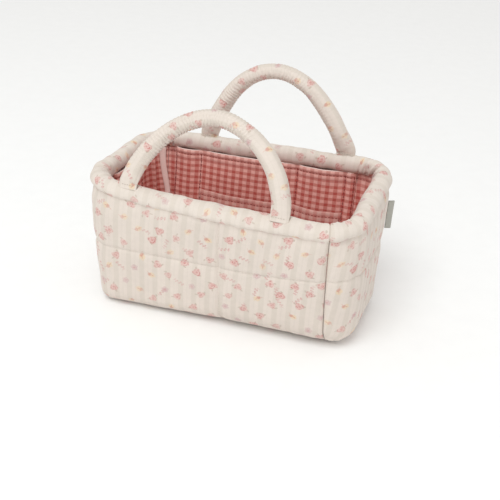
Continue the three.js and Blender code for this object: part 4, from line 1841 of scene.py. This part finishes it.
@dataclass
class Pockets:
    """The checked pockets sewn to the lining, with their hems, and the strip over their join."""

    form: BasketForm
    wardrobe: Wardrobe
    walls: Walls
    step: float = 1.3
    cloth: float = 0.6
    bottom: float = 16.5
    long_half: float = 79.7
    short_half: float = 26.2
    top: float = 105.8
    lower_top: float = 71.0
    mouth: float = 3.9
    front_mouth: float = 6.8
    lower_mouth: float = 1.8
    hem: float = 4.3
    sewn_gap: float = 0.45
    top_gap: float = 1.1
    slack: float = 0.22
    doubled_hem: float = 0.25
    hem_groove: Groove = Groove(1.0, 0.8)
    hem_ridge: Groove = Groove(0.6, 1.4)
    lower_ridge: Groove = Groove(0.35, 1.6)
    sway: Relief = Relief(53, 0.7, (22, 30, 1))
    folds: Relief = Relief(54, 0.35, (7, 40, 1))
    gathers: Relief = Relief(55, 0.3, (4.5, 14, 1))
    crumples: Relief = Relief(56, 0.2, (9, 9, 1))
    strip_wave: Relief = Relief(55, 0.25, (9, 12, 1))
    strip_width: float = 4.9
    strip_turned: float = 2.0
    strip_turn: float = 5.27
    strip_fold: float = 0.3
    strip_cloth: float = 0.34
    edging: float = 0.48
    edging_height: float = 0.5
    edging_sides: int = 10

    def __post_init__(self) -> None:
        """Lists the pockets."""
        long_half, short_half = self.long_half, self.short_half
        dividers = (-56, 30, 71)
        ends = (-short_half, short_half)
        self.back = self.plan("back_pocket", Side.BACK, (-long_half, *dividers, long_half), self.mouth)
        lower = ("lower_pocket_cloth", "back_lower_pocket", Side.BACK, dividers)
        self.plans = [
            self.plan("front_pocket", Side.FRONT, (-long_half, -27, 27, long_half), self.front_mouth),
            self.plan("right_end_pocket", Side.RIGHT, ends, self.mouth),
            self.back,
            self.plan("left_end_pocket", Side.LEFT, ends, self.mouth),
            PocketPlan(*lower, self.lower_top, self.lower_mouth, doubled=True),
        ]

    def plan(self, node: str, side: Side, seams: tuple[float, ...], mouth: float) -> PocketPlan:
        """Plan of a pocket as high as the walls."""
        return PocketPlan(f"{node}_cloth", node, side, seams, self.top, mouth, doubled=False)

    def bulge(self, plan: PocketPlan, along: Array, z: Array) -> Array:
        """How far a pocket's back face stands off the lining.

        Args:
            plan: The pocket.
            along: Places along the wall.
            z: Heights.

        Returns:
            The distance at each place.
        """
        seams = np.array(plan.seams, float)
        cell = np.clip(np.searchsorted(seams, along, side="right") - 1, 0, len(seams) - 2)
        width = seams[cell + 1] - seams[cell]
        part = np.clip((along - seams[cell]) / width, 0, 1)
        climb = np.clip((z - self.bottom) / (plan.top - self.bottom), 0, 1)
        open_share = np.sin(math.pi * part) ** 0.6
        stand = np.minimum(plan.mouth, self.slack * width) * open_share * climb**0.75
        to_seam = np.abs(along[..., None] - seams).min(-1)
        stand += open_share * self.sway.at(along, z, width) * ramp(climb, 0, 0.2)
        stand += self.folds.at(along, z, width) * ramp(to_seam, 0, 4)
        gathers = self.gathers.at(along + z * 0.3, z)
        stand = stand + gathers * np.exp(-to_seam / 5) * ramp(to_seam, 0.2, 2) + self.crumples.at(along, z)
        under_hem = plan.top - z - self.hem
        hem = self.hem_ridge.at(plan.top - z - self.hem * 0.45) - self.hem_groove.at(under_hem)
        hem += self.lower_ridge.at(under_hem - 2.4)
        if plan.doubled:
            behind = self.bulge(self.back, along, z) + self.cloth
            return np.maximum(stand + hem * self.doubled_hem, 0) + self.sewn_gap + behind
        return np.maximum(stand + hem, 0) + self.sewn_gap + self.top_gap * ramp(z, 96, 103)

    def build(self) -> None:
        """Builds the pockets, their edgings and stitches, and the strip."""
        hems, seams, binding = Patch(), Patch(), Patch()
        for plan in self.plans:
            face, z, along = self.pocket(plan)
            inward = INWARD[plan.side]
            columns = np.arange(1.5, len(along) - 1.5)
            hems.sew(face, columns, self.hem / self.step, inward, length=2.4, radius=0.26)
            rows = np.arange(2.0, len(z) - 2)
            for seam in plan.seams:
                column = np.interp(seam, along, np.arange(len(along)))
                column = np.clip(column, 0.9, len(along) - 1.9)
                seams.sew(face, column, rows, inward, length=2.85, radius=0.36)
            if not plan.doubled:
                self.edge(binding, face, len(along), inward)
        for patch, name in ((hems, "pocket_hem_stitches"), (seams, "pocket_seam_stitches")):
            self.wardrobe.dress(patch.piece(name), Finish.ROSE_THREAD, "checked_cloth")
        self.wardrobe.dress(binding.piece("pocket_edgings"), Finish.BINDING, "binding")
        self.strip()

    def pocket(self, plan: PocketPlan) -> tuple[Surface, Array, Array]:
        """Builds one pocket.

        Args:
            plan: The pocket.

        Returns:
            Its front face, the heights of its rows, and the places of its stations.
        """
        length = plan.seams[-1] - plan.seams[0]
        along = np.linspace(plan.seams[0], plan.seams[-1], int(length / self.step) + 2)
        z = np.arange(plan.top, self.bottom, -self.step)
        grid_along, grid_z = np.meshgrid(along, z, indexing="ij")
        stand = self.bulge(plan, grid_along, grid_z)
        front = self.form.off_lining(plan.side, grid_along, grid_z, stand + self.cloth)
        back = self.form.off_lining(plan.side, grid_along, grid_z, stand)
        across = run_along(front.transpose(1, 0, 2)).T.mean(1)
        across = across - across[len(along) // 2]
        piece = make_cloth(plan.name, (front, back), pairs(across[:, None], grid_z - plan.top))
        finish = Finish.PALE_CHECKS if plan.doubled else Finish.CHECKS
        self.wardrobe.dress(piece, finish, "checked_cloth", plan.node)
        size = ((across[-1] - across[0]) * MM, (plan.top - self.bottom) * MM)
        return Surface(front), z, along

    def edge(self, patch: Patch, face: Surface, count: int, inward: Array) -> None:
        """Adds the pale edging folded over a pocket's top edge.

        Args:
            patch: Takes the edging.
            face: Front face of the pocket.
            count: Number of the pocket's stations.
            inward: Direction into the basket.
        """
        columns = np.linspace(0.2, count - 1.2, count * 2)
        line = face.at(columns, 0.0) - inward * self.cloth / 2
        swing = circle(self.edging_sides)
        depth = np.sign(np.cos(swing)) * np.abs(np.cos(swing)) ** 0.6 * self.edging
        middle = (line - UPWARD * (self.edging_height - 0.35))[:, None]
        rings = middle + inward * depth[:, None] + UPWARD * (np.sin(swing) * self.edging_height)[:, None]
        around = np.arange(self.edging_sides + 1) * 0.5
        patch.tube(rings, pairs(run_along(line)[:, None], around))

    def strip(self) -> None:
        """Builds the pale strip over the join in the back left corner, turned under and sewn."""
        across, height = self.strip_section()
        half = self.strip_width / 2
        inner_radius = self.form.rim_radius - self.form.overhang - self.form.wall_thickness
        corner = inner_radius * math.pi / 2
        z = np.arange(self.walls.lining_top - 0.6, self.bottom, -1.5)
        lean = 0.08 - 0.26 * ramp(z[0] - z, 0, 55) + 0.02 * np.sin(z / 11)
        turns = self.strip_turn - (across / corner)[:, None] + lean[None, :]
        bow = 0.35 * np.cos(across / half * math.pi / 2)[:, None]
        wave = self.strip_wave.at(across[:, None], z[None, :])
        depth = self.form.wall_thickness + self.sewn_gap + bow + wave + height[:, None]
        section = np.stack([across, height], -1)
        side = unit(np.gradient(section, axis=0))
        faces = []
        for grown in (self.strip_cloth / 2, -self.strip_cloth / 2):
            moved = turns + (grown * side[:, 1] / corner)[:, None]
            inset = depth + (grown * side[:, 0])[:, None]
            faces.append(self.form.wall_point(moved, np.broadcast_to(z, depth.shape), inset))
        run = run_along(section)
        piece = make_cloth("corner_join_strip", faces, pairs(run[:, None], z))
        self.wardrobe.dress(piece, Finish.BINDING, "binding", "pocket_join_strip")
        stitches, face = Patch(), Surface(faces[0])
        rows = np.arange(1.0, len(z) - 1)
        inward = -self.form.outward(np.array([self.strip_turn]))[0]
        for column in (10.0, 18.0):
            stitches.sew(face, column, rows, inward)
        self.wardrobe.dress(stitches.piece("strip_stitches"), Finish.BINDING, "binding")

    def strip_section(self) -> tuple[Array, Array]:
        """Draws the strip's section, from one turned edge to the other.

        Returns:
            Places across it, and their heights.
        """
        half, bend = self.strip_width / 2, self.strip_fold
        fold = np.linspace(math.pi / 2, 3 * math.pi / 2, 7)[1:-1]
        flat = np.linspace(-half, half, 11)
        under = np.linspace(half - self.strip_turned, half, 4)
        first, last = -half + bend * np.cos(fold[::-1]), half - bend * np.cos(fold)
        across = np.concatenate([-under, first, flat, last, under[::-1]])
        first, last = bend - bend * np.sin(fold[::-1]), bend + bend * np.sin(fold)
        return across, np.concatenate([np.zeros(4), first, np.full(11, 2 * bend), last, np.zeros(4)])


@dataclass(frozen=True)
class HandlePlan:
    """One handle: its name, how far it leans towards the back in degrees, and the shape of its arch."""

    name: str
    lean: float
    seed: int
    rise: float
    shoulder_x: float
    shoulder_z: float
    skew: float
    ribs: float
    splay: float
    foot_width: float


@dataclass
class Handle:
    """A rope inside a gathered cloth sleeve whose flattened ends are sewn to the rim."""

    wardrobe: Wardrobe
    plan: HandlePlan
    spacing: float = 119.0
    leg_radius: float = 7.2
    top_radius: float = 6.3
    foot_thickness: float = 8.4
    foot_end_thickness: float = 3.0
    foot_length: float = 16.0
    foot_depth: float = 5.8
    seam_height: float = 3.2
    cloth: float = 0.8
    ring_step: float = 0.5
    sides: int = 52
    gathering: float = 1.2
    rib_pitch: float = 2.7
    wobble: float = 0.5
    rope_start: float = 15.0
    rope_rings: int = 220
    strand_sides: int = 10
    strand_radius: float = 2.3
    strand_offset: float = 2.5
    lay: float = 21.0
    bend_depth: float = 1.0
    bend_height: float = 10.0

    def __post_init__(self) -> None:
        """Finds the hinge in the frame and draws the random fields."""
        self.hinge, axis = joint_of(f"{self.plan.name}_swing")
        self.along = axis * (1 if axis[0] > 0 else -1)
        lean = math.radians(self.plan.lean)
        upright = np.array([0.0, math.sin(lean), math.cos(lean)])
        self.across = unit(np.cross(upright, self.along))
        self.up = np.cross(self.along, self.across)
        self.fields = [soft_noise(self.plan.seed + number) for number in range(6)]

    def feet(self) -> list[tuple[float, float]]:
        """X and Y of the two places where its ends meet the rim."""
        places = (-self.spacing / 2 - self.plan.splay, self.spacing / 2)
        return [tuple((self.hinge + self.along * place)[:2]) for place in places]

    def arch(self) -> Array:
        """Draws the middle line in the handle's plane.

        Returns:
            Its points, from one sewn end to the other.
        """
        plan = self.plan
        angle = np.linspace(0, math.pi, 1201)
        cosine = np.cos(angle)
        height = np.maximum(np.sin(angle), 0) ** plan.shoulder_z
        x = -np.sign(cosine) * np.abs(cosine) ** plan.shoulder_x * self.spacing / 2 + plan.skew * height
        x -= plan.splay * (cosine > 0) * np.exp(-plan.rise * height / 9)
        line = np.stack([x, plan.rise * height], -1)
        below = np.array([0.0, self.foot_depth])
        return np.concatenate([line[:1] - below, line, line[-1:] - below])

    def line(self, run: Array) -> tuple[Array, Array]:
        """Follows the middle line.

        Args:
            run: Lengths from its first end.

        Returns:
            Points in the handle's plane, and directions out of the arch.
        """
        points = self.arch()
        place = interpolate(run, run_along(points), points)
        tangent = unit(np.gradient(place, axis=0))
        return place, np.stack([-tangent[:, 1], tangent[:, 0]], -1)

    def placed(self, flat: Array, out: Array, wide: Array, off: Array) -> Array:
        """Points in space, from places on the middle line and offsets in and across its plane."""
        x, z = (flat[:, None, axis] + out[:, None, axis] * wide for axis in (0, 1))
        return self.hinge + x[..., None] * self.along + z[..., None] * self.up + off[..., None] * self.across

    def build(self) -> None:
        """Builds the sleeve, the rope and the stitches at both feet."""
        total = float(run_along(self.arch())[-1])
        run = np.linspace(0, total, int(total / self.ring_step))
        flat, out = self.line(run)
        swing = circle(self.sides)
        lift = self.gathers(run, swing, total)
        foot = np.minimum(run, total - run)
        leg = ramp(foot - self.foot_depth, 0, self.foot_length)
        rest = ramp(foot - self.foot_depth, self.foot_length, total / 2 - self.foot_depth)
        radius = self.leg_radius + (self.top_radius - self.leg_radius) * rest
        wide = self.plan.foot_width / 2 + (radius - self.plan.foot_width / 2) * leg
        thin, thick = self.foot_end_thickness / 2, self.foot_thickness / 2
        foot_thick = thin + (thick - thin) * ramp(foot, 1.0, self.foot_depth + 4)
        thick = foot_thick + (radius - foot_thick) * leg
        wobble = self.wobble * self.fields[5](run / 34, 0.3)[:, None]
        cosine, sine = np.cos(swing)[None, :], np.sin(swing)[None, :]
        faces = []
        for drawn_in in (0.0, self.cloth):
            grown = lift - drawn_in
            in_plane = (wide[:, None] + grown) * cosine + wobble * ramp(foot, 8, 30)[:, None]
            faces.append(self.placed(flat, out, in_plane, (thick[:, None] + grown) * sine))
        around = np.arange(self.sides + 1) / self.sides * 2 * math.pi * self.top_radius
        rows, name = [face.transpose(1, 0, 2) for face in faces], self.plan.name
        cloth = pairs(around[:, None], run * self.gathering)
        sleeve = make_cloth(f"{name}_gathered_sleeve", rows, cloth, ring=True)
        self.wardrobe.dress(sleeve, Finish.PRINT, "printed_cloth", f"{name}_sleeve", body=None)
        start = self.hinge - self.up * self.bend_depth
        end = self.hinge + self.up * self.bend_height
        tuple(start * MM)
        tuple(end * MM)
        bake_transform(sleeve)
        self.rope(total)
        self.foot_stitches(faces[0], run, total)

    def gathers(self, run: Array, swing: Array, total: float) -> Array:
        """Relief of the gathered cloth.

        Args:
            run: Places of the rings along the middle line.
            swing: Angles of the sides.
            total: Length of the middle line.

        Returns:
            Lift by ring and side.
        """
        s = run[:, None]
        cosine, sine = np.cos(swing)[None, :], np.sin(swing)[None, :]
        foot = np.minimum(run, total - run)[:, None]
        inner = 0.3 + 0.7 * (1 - cosine) / 2
        rings, fine, crease, broad, folds, _ = self.fields
        place = s + 1.5 * broad(1.1 * cosine, 1.1 * sine, s / 8)
        gathered = ramp(s / total, 0.08, 0.2) * (1 - ramp(s / total, 0.58, 0.72))
        uneven = 0.5 + 0.5 * ramp(rings(s / 19, 0.7 * cosine, 0.7 * sine), -0.4, 0.5)
        depth = 0.1 + self.plan.ribs * gathered * uneven
        lift = -depth * (np.abs(np.cos(place * math.pi / self.rib_pitch)) ** 5 - 0.3)
        lift += 0.12 * fine(s / 1.0, 1.8 * cosine, 1.8 * sine)
        sharp = np.maximum(crease(s / 2.8, 1.0 * cosine, 1.0 * sine) - 0.28, 0)
        lift -= (0.4 + 0.9 * gathered) * sharp * inner
        lift += 0.4 * broad(s / 15, 0.8 * cosine, 0.8 * sine)
        at_foot = 1 - ramp(foot, self.foot_depth + 2, self.foot_depth + self.foot_length)
        lift = lift * (1 - 0.6 * at_foot) + 0.4 * at_foot * folds(s / 16, 3.0 * cosine, 3.0 * sine)
        return lift * ramp(foot, 0.5, 5)

    def rope(self, total: float) -> None:
        """Builds the three-strand rope inside the sleeve.

        Args:
            total: Length of the middle line.
        """
        run = np.linspace(self.rope_start, total - self.rope_start, self.rope_rings)
        flat, out = self.line(run)
        turn = 2 * math.pi * (run - run[0]) / self.lay
        swing = circle(self.strand_sides)[None, :]
        around = np.arange(self.strand_sides + 1) * 1.4
        patch = Patch()
        for phase in (turn[:, None] + strand * 2 * math.pi / 3 for strand in range(3)):
            in_plane = self.strand_offset * np.cos(phase) + self.strand_radius * np.cos(swing)
            across = self.strand_offset * np.sin(phase) + self.strand_radius * np.sin(swing)
            patch.tube(self.placed(flat, out, in_plane, across), pairs(run[:, None], around))
        rope, name = patch.piece(f"{self.plan.name}_twisted_rope"), self.plan.name
        self.wardrobe.dress(rope, Finish.ROPE, "rope", f"{name}_rope", body=name)

    def foot_stitches(self, face: Array, run: Array, total: float) -> None:
        """Sews each foot down with a row of stitches on both of its sides, in a grey thread whose dark tone
        also paints the contact shadow at the foot's base.

        Args:
            face: Points of the sleeve by ring and side.
            run: Places of the rings along the middle line.
            total: Length of the middle line.
        """
        patch = Patch()
        half = self.sides // 2
        for end in (self.seam_height, total - self.seam_height):
            ring = face[int(np.argmin(np.abs(run - end)))]
            for first, facing in ((6, 1), (6 + half, -1)):
                path = ring[np.arange(first, first + half - 12) % self.sides]
                out = np.tile(self.across * facing, (len(path), 1))
                patch.stitches(path, out, pitch=2.0, length=1.8)
        piece = patch.piece(f"{self.plan.name}_foot_stitches")
        # Grey stitches that also paint the feet's contact shadow.
        self.wardrobe.dress(piece, Finish.GREY_THREAD_PAINTED_SHADOW, "printed_cloth")


@dataclass
class LabelTab:
    """A blank folded tape, sewn into the back right seam."""

    form: BasketForm
    wardrobe: Wardrobe
    reach: float = 5.35
    laid_back: float = 12.0
    height: float = 23.5
    above: float = 5.0
    fold: float = 1.0
    fold_radius: float = 0.42
    tape: float = 0.3
    curl: float = 0.5
    bow: float = 0.15

    def build(self) -> None:
        """Builds the folded tape, bent round its fold and curled a little."""
        hinge, upright = joint_of("label_tab_flip")
        upright = upright * np.sign(upright[2])
        hinge += upright * self.above
        outward = self.form.outward(np.array([3 + self.form.seam_turn]))[0]
        square = unit(outward - upright * float(outward @ upright))
        turn = math.radians(self.laid_back)
        outward = square * math.cos(turn) + np.cross(upright, square) * math.sin(turn)
        across = np.cross(upright, outward)
        flat = np.linspace(0, self.reach - self.fold, 16)
        fold = np.linspace(-math.pi / 2, math.pi / 2, 9)[1:-1]
        tip = self.reach - self.fold + np.cos(fold) * 1.4 * self.fold_radius
        out = np.concatenate([flat, tip, flat[::-1]])
        side = np.concatenate([np.full(16, -1.0), np.sin(fold), np.full(16, 1.0)]) * self.fold_radius
        rows = np.linspace(-self.height / 2, self.height / 2, 18)
        share = out / self.reach
        bend = self.curl * share**2 * 0.5
        bow = self.bow * np.cos(rows / self.height * math.pi)[None, :] * share[:, None]
        faces = []
        for grown in (self.tape / 2, -self.tape / 2):
            width = side * (1 + 0.5 * ramp(out, 2, 8)) + np.sign(side) * grown
            length = out + grown * (np.abs(side) < 0.999 * self.fold_radius)
            point = hinge + length[:, None, None] * outward + rows[None, :, None] * upright
            faces.append(point + (width[:, None] + bend[:, None] + bow)[..., None] * across)
        path = run_along(np.stack([out, side], -1))
        tab = make_cloth("folded_label_tape", faces, pairs(path[:, None], rows))
        self.wardrobe.dress(tab, Finish.TAPE, "label", "label_tab", body="label_tab")


@dataclass(frozen=True)
class Shot:
    """Where the camera stands and how its picture is framed."""

    azimuth: float = 19.490111
    elevation: float = 27.773817
    roll: float = 1.718138
    distance: float = 817.0744
    target: tuple[float, float, float] = (0.0, 0.0, 60.0)
    lens: float = 72.2510
    shift_x: float = 0.019049
    shift_y: float = -0.030473


@dataclass
class Studio:
    """The floor, the lights and the camera."""

    shot: Shot = Shot()
    floor_size: float = 9.0
    floor_shade: Colour = (0.97, 0.97, 0.97)
    sky: float = 0.77
    sky_colour: Colour = (1.0, 0.988, 0.97)
    key_power: float = 14.0
    key_colour: Colour = (0.95, 1.0, 1.0)
    key_size: float = 1.1
    key_place: tuple[float, float, float] = (-0.05, -1.0, 1.6)
    key_target: tuple[float, float, float] = (0.0, 0.0, 0.06)
    sensor_width: float = 36.0
    clipping: tuple[float, float] = (0.05, 40.0)

    def build(self) -> None:
        """Builds the studio."""
        self.floor()
        self.light()
        self.camera()
        settings = bpy.context.scene.view_settings
        settings.view_transform = "Standard"
        settings.look = "None"

    def floor(self) -> None:
        """Makes the plain pale floor."""
        half = self.floor_size / 2
        corners = [(-half, -half, 0), (half, -half, 0), (half, half, 0), (-half, half, 0)]
        mesh = bpy.data.meshes.new("floor")
        mesh.from_pydata(corners, [], [(0, 1, 2, 3)])
        floor = bpy.data.objects.new("floor", mesh)
        bpy.context.scene.collection.objects.link(floor)
        material, graph = new_material("floor_paper")
        place = graph.node("ShaderNodeTexCoord").outputs["Object"]
        grain = graph.noise(place, 60.0).step(0.2, 0.8)
        worn = tuple(0.985 * part for part in self.floor_shade)
        colour = graph.mix(grain, worn, self.floor_shade)
        finish_material(graph, {"Base Color": colour, "Roughness": 0.9, "Specular IOR Level": 0.1})
        floor.data.materials.append(material)
        floor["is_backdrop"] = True

    def light(self) -> None:
        """Sets the sky and one soft key light."""
        world = bpy.data.worlds.new("studio_sky")
        bpy.context.scene.world = world
        world.use_nodes = True
        world.node_tree.nodes.clear()
        graph = Graph(world.node_tree)
        sky = graph.node("ShaderNodeBackground", {"Color": self.sky_colour, "Strength": self.sky})
        graph.put(graph.node("ShaderNodeOutputWorld").inputs["Surface"], sky.outputs[0])
        data = bpy.data.lights.new("key_light", "AREA")
        data.shape = "DISK"
        data.size = self.key_size
        data.energy = self.key_power
        data.color = self.key_colour
        key = bpy.data.objects.new("key_light", data)
        key.location = self.key_place
        aim = Vector(self.key_target) - Vector(self.key_place)
        key.rotation_mode = "QUATERNION"
        key.rotation_quaternion = aim.to_track_quat("-Z", "Y")
        bpy.context.scene.collection.objects.link(key)

    def camera(self) -> None:
        """Places the camera as the photograph was taken."""
        shot = self.shot
        azimuth, elevation, roll = (math.radians(part) for part in (shot.azimuth, shot.elevation, shot.roll))
        level = math.cos(elevation)
        back = Vector((math.sin(azimuth) * level, -math.cos(azimuth) * level, math.sin(elevation)))
        right = Vector((math.cos(azimuth), math.sin(azimuth), 0.0))
        up = back.cross(right)
        turned_right = right * math.cos(roll) + up * math.sin(roll)
        turned_up = up * math.cos(roll) - right * math.sin(roll)
        place = (Vector(shot.target) + back * shot.distance) * MM
        data = bpy.data.cameras.new("camera")
        data.sensor_width = self.sensor_width
        data.lens = shot.lens
        data.shift_x, data.shift_y = shot.shift_x, shot.shift_y
        data.clip_start, data.clip_end = self.clipping
        camera = bpy.data.objects.new("camera", data)
        axes = Matrix((turned_right, turned_up, back)).transposed().to_4x4()
        camera.matrix_world = Matrix.Translation(place) @ axes
        bpy.context.scene.collection.objects.link(camera)
        bpy.context.scene.camera = camera


def write_sizes() -> None:
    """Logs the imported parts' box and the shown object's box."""
    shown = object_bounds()
    boxes = {"cad": [list(corner) for corner in CAD_BOX], "shown": [list(corner) for corner in shown]}
    for name, (low, high) in boxes.items():
        LOG.info("%s box %s to %s", name, np.round(low, 4), np.round(high, 4))


def main() -> None:
    """Builds the basket piece by piece, and the studio round it."""
    logging.basicConfig(level=logging.INFO, format="%(name)s: %(message)s")
    form = BasketForm()
    wardrobe = Wardrobe()
    walls = Walls(form, wardrobe)
    shape = {"rise": 59.5, "shoulder_x": 1.11, "shoulder_z": 1.18, "skew": 0.0, "splay": 2.4}
    front = HandlePlan("front_handle", lean=25.0, seed=83, ribs=0.85, foot_width=14.8, **shape)
    shape = {"rise": 58.0, "shoulder_x": 0.91, "shoulder_z": 1.9, "skew": -2.3, "splay": 0.0}
    back = HandlePlan("back_handle", lean=5.0, seed=97, ribs=0.4, foot_width=16.0, **shape)
    handles = [Handle(wardrobe, front), Handle(wardrobe, back)]
    feet = [foot for handle in handles for foot in handle.feet()]
    parts: list[Walls | Base | Rim | Pockets | Handle | LabelTab | Studio] = [
        walls,
        Base(form, wardrobe, walls),
        Rim(form, wardrobe, feet),
        Pockets(form, wardrobe, walls),
        *handles,
        LabelTab(form, wardrobe),
        Studio(),
    ]
    for part in parts:
        part.build()
    write_sizes()


if __name__ == "__main__":
    main()
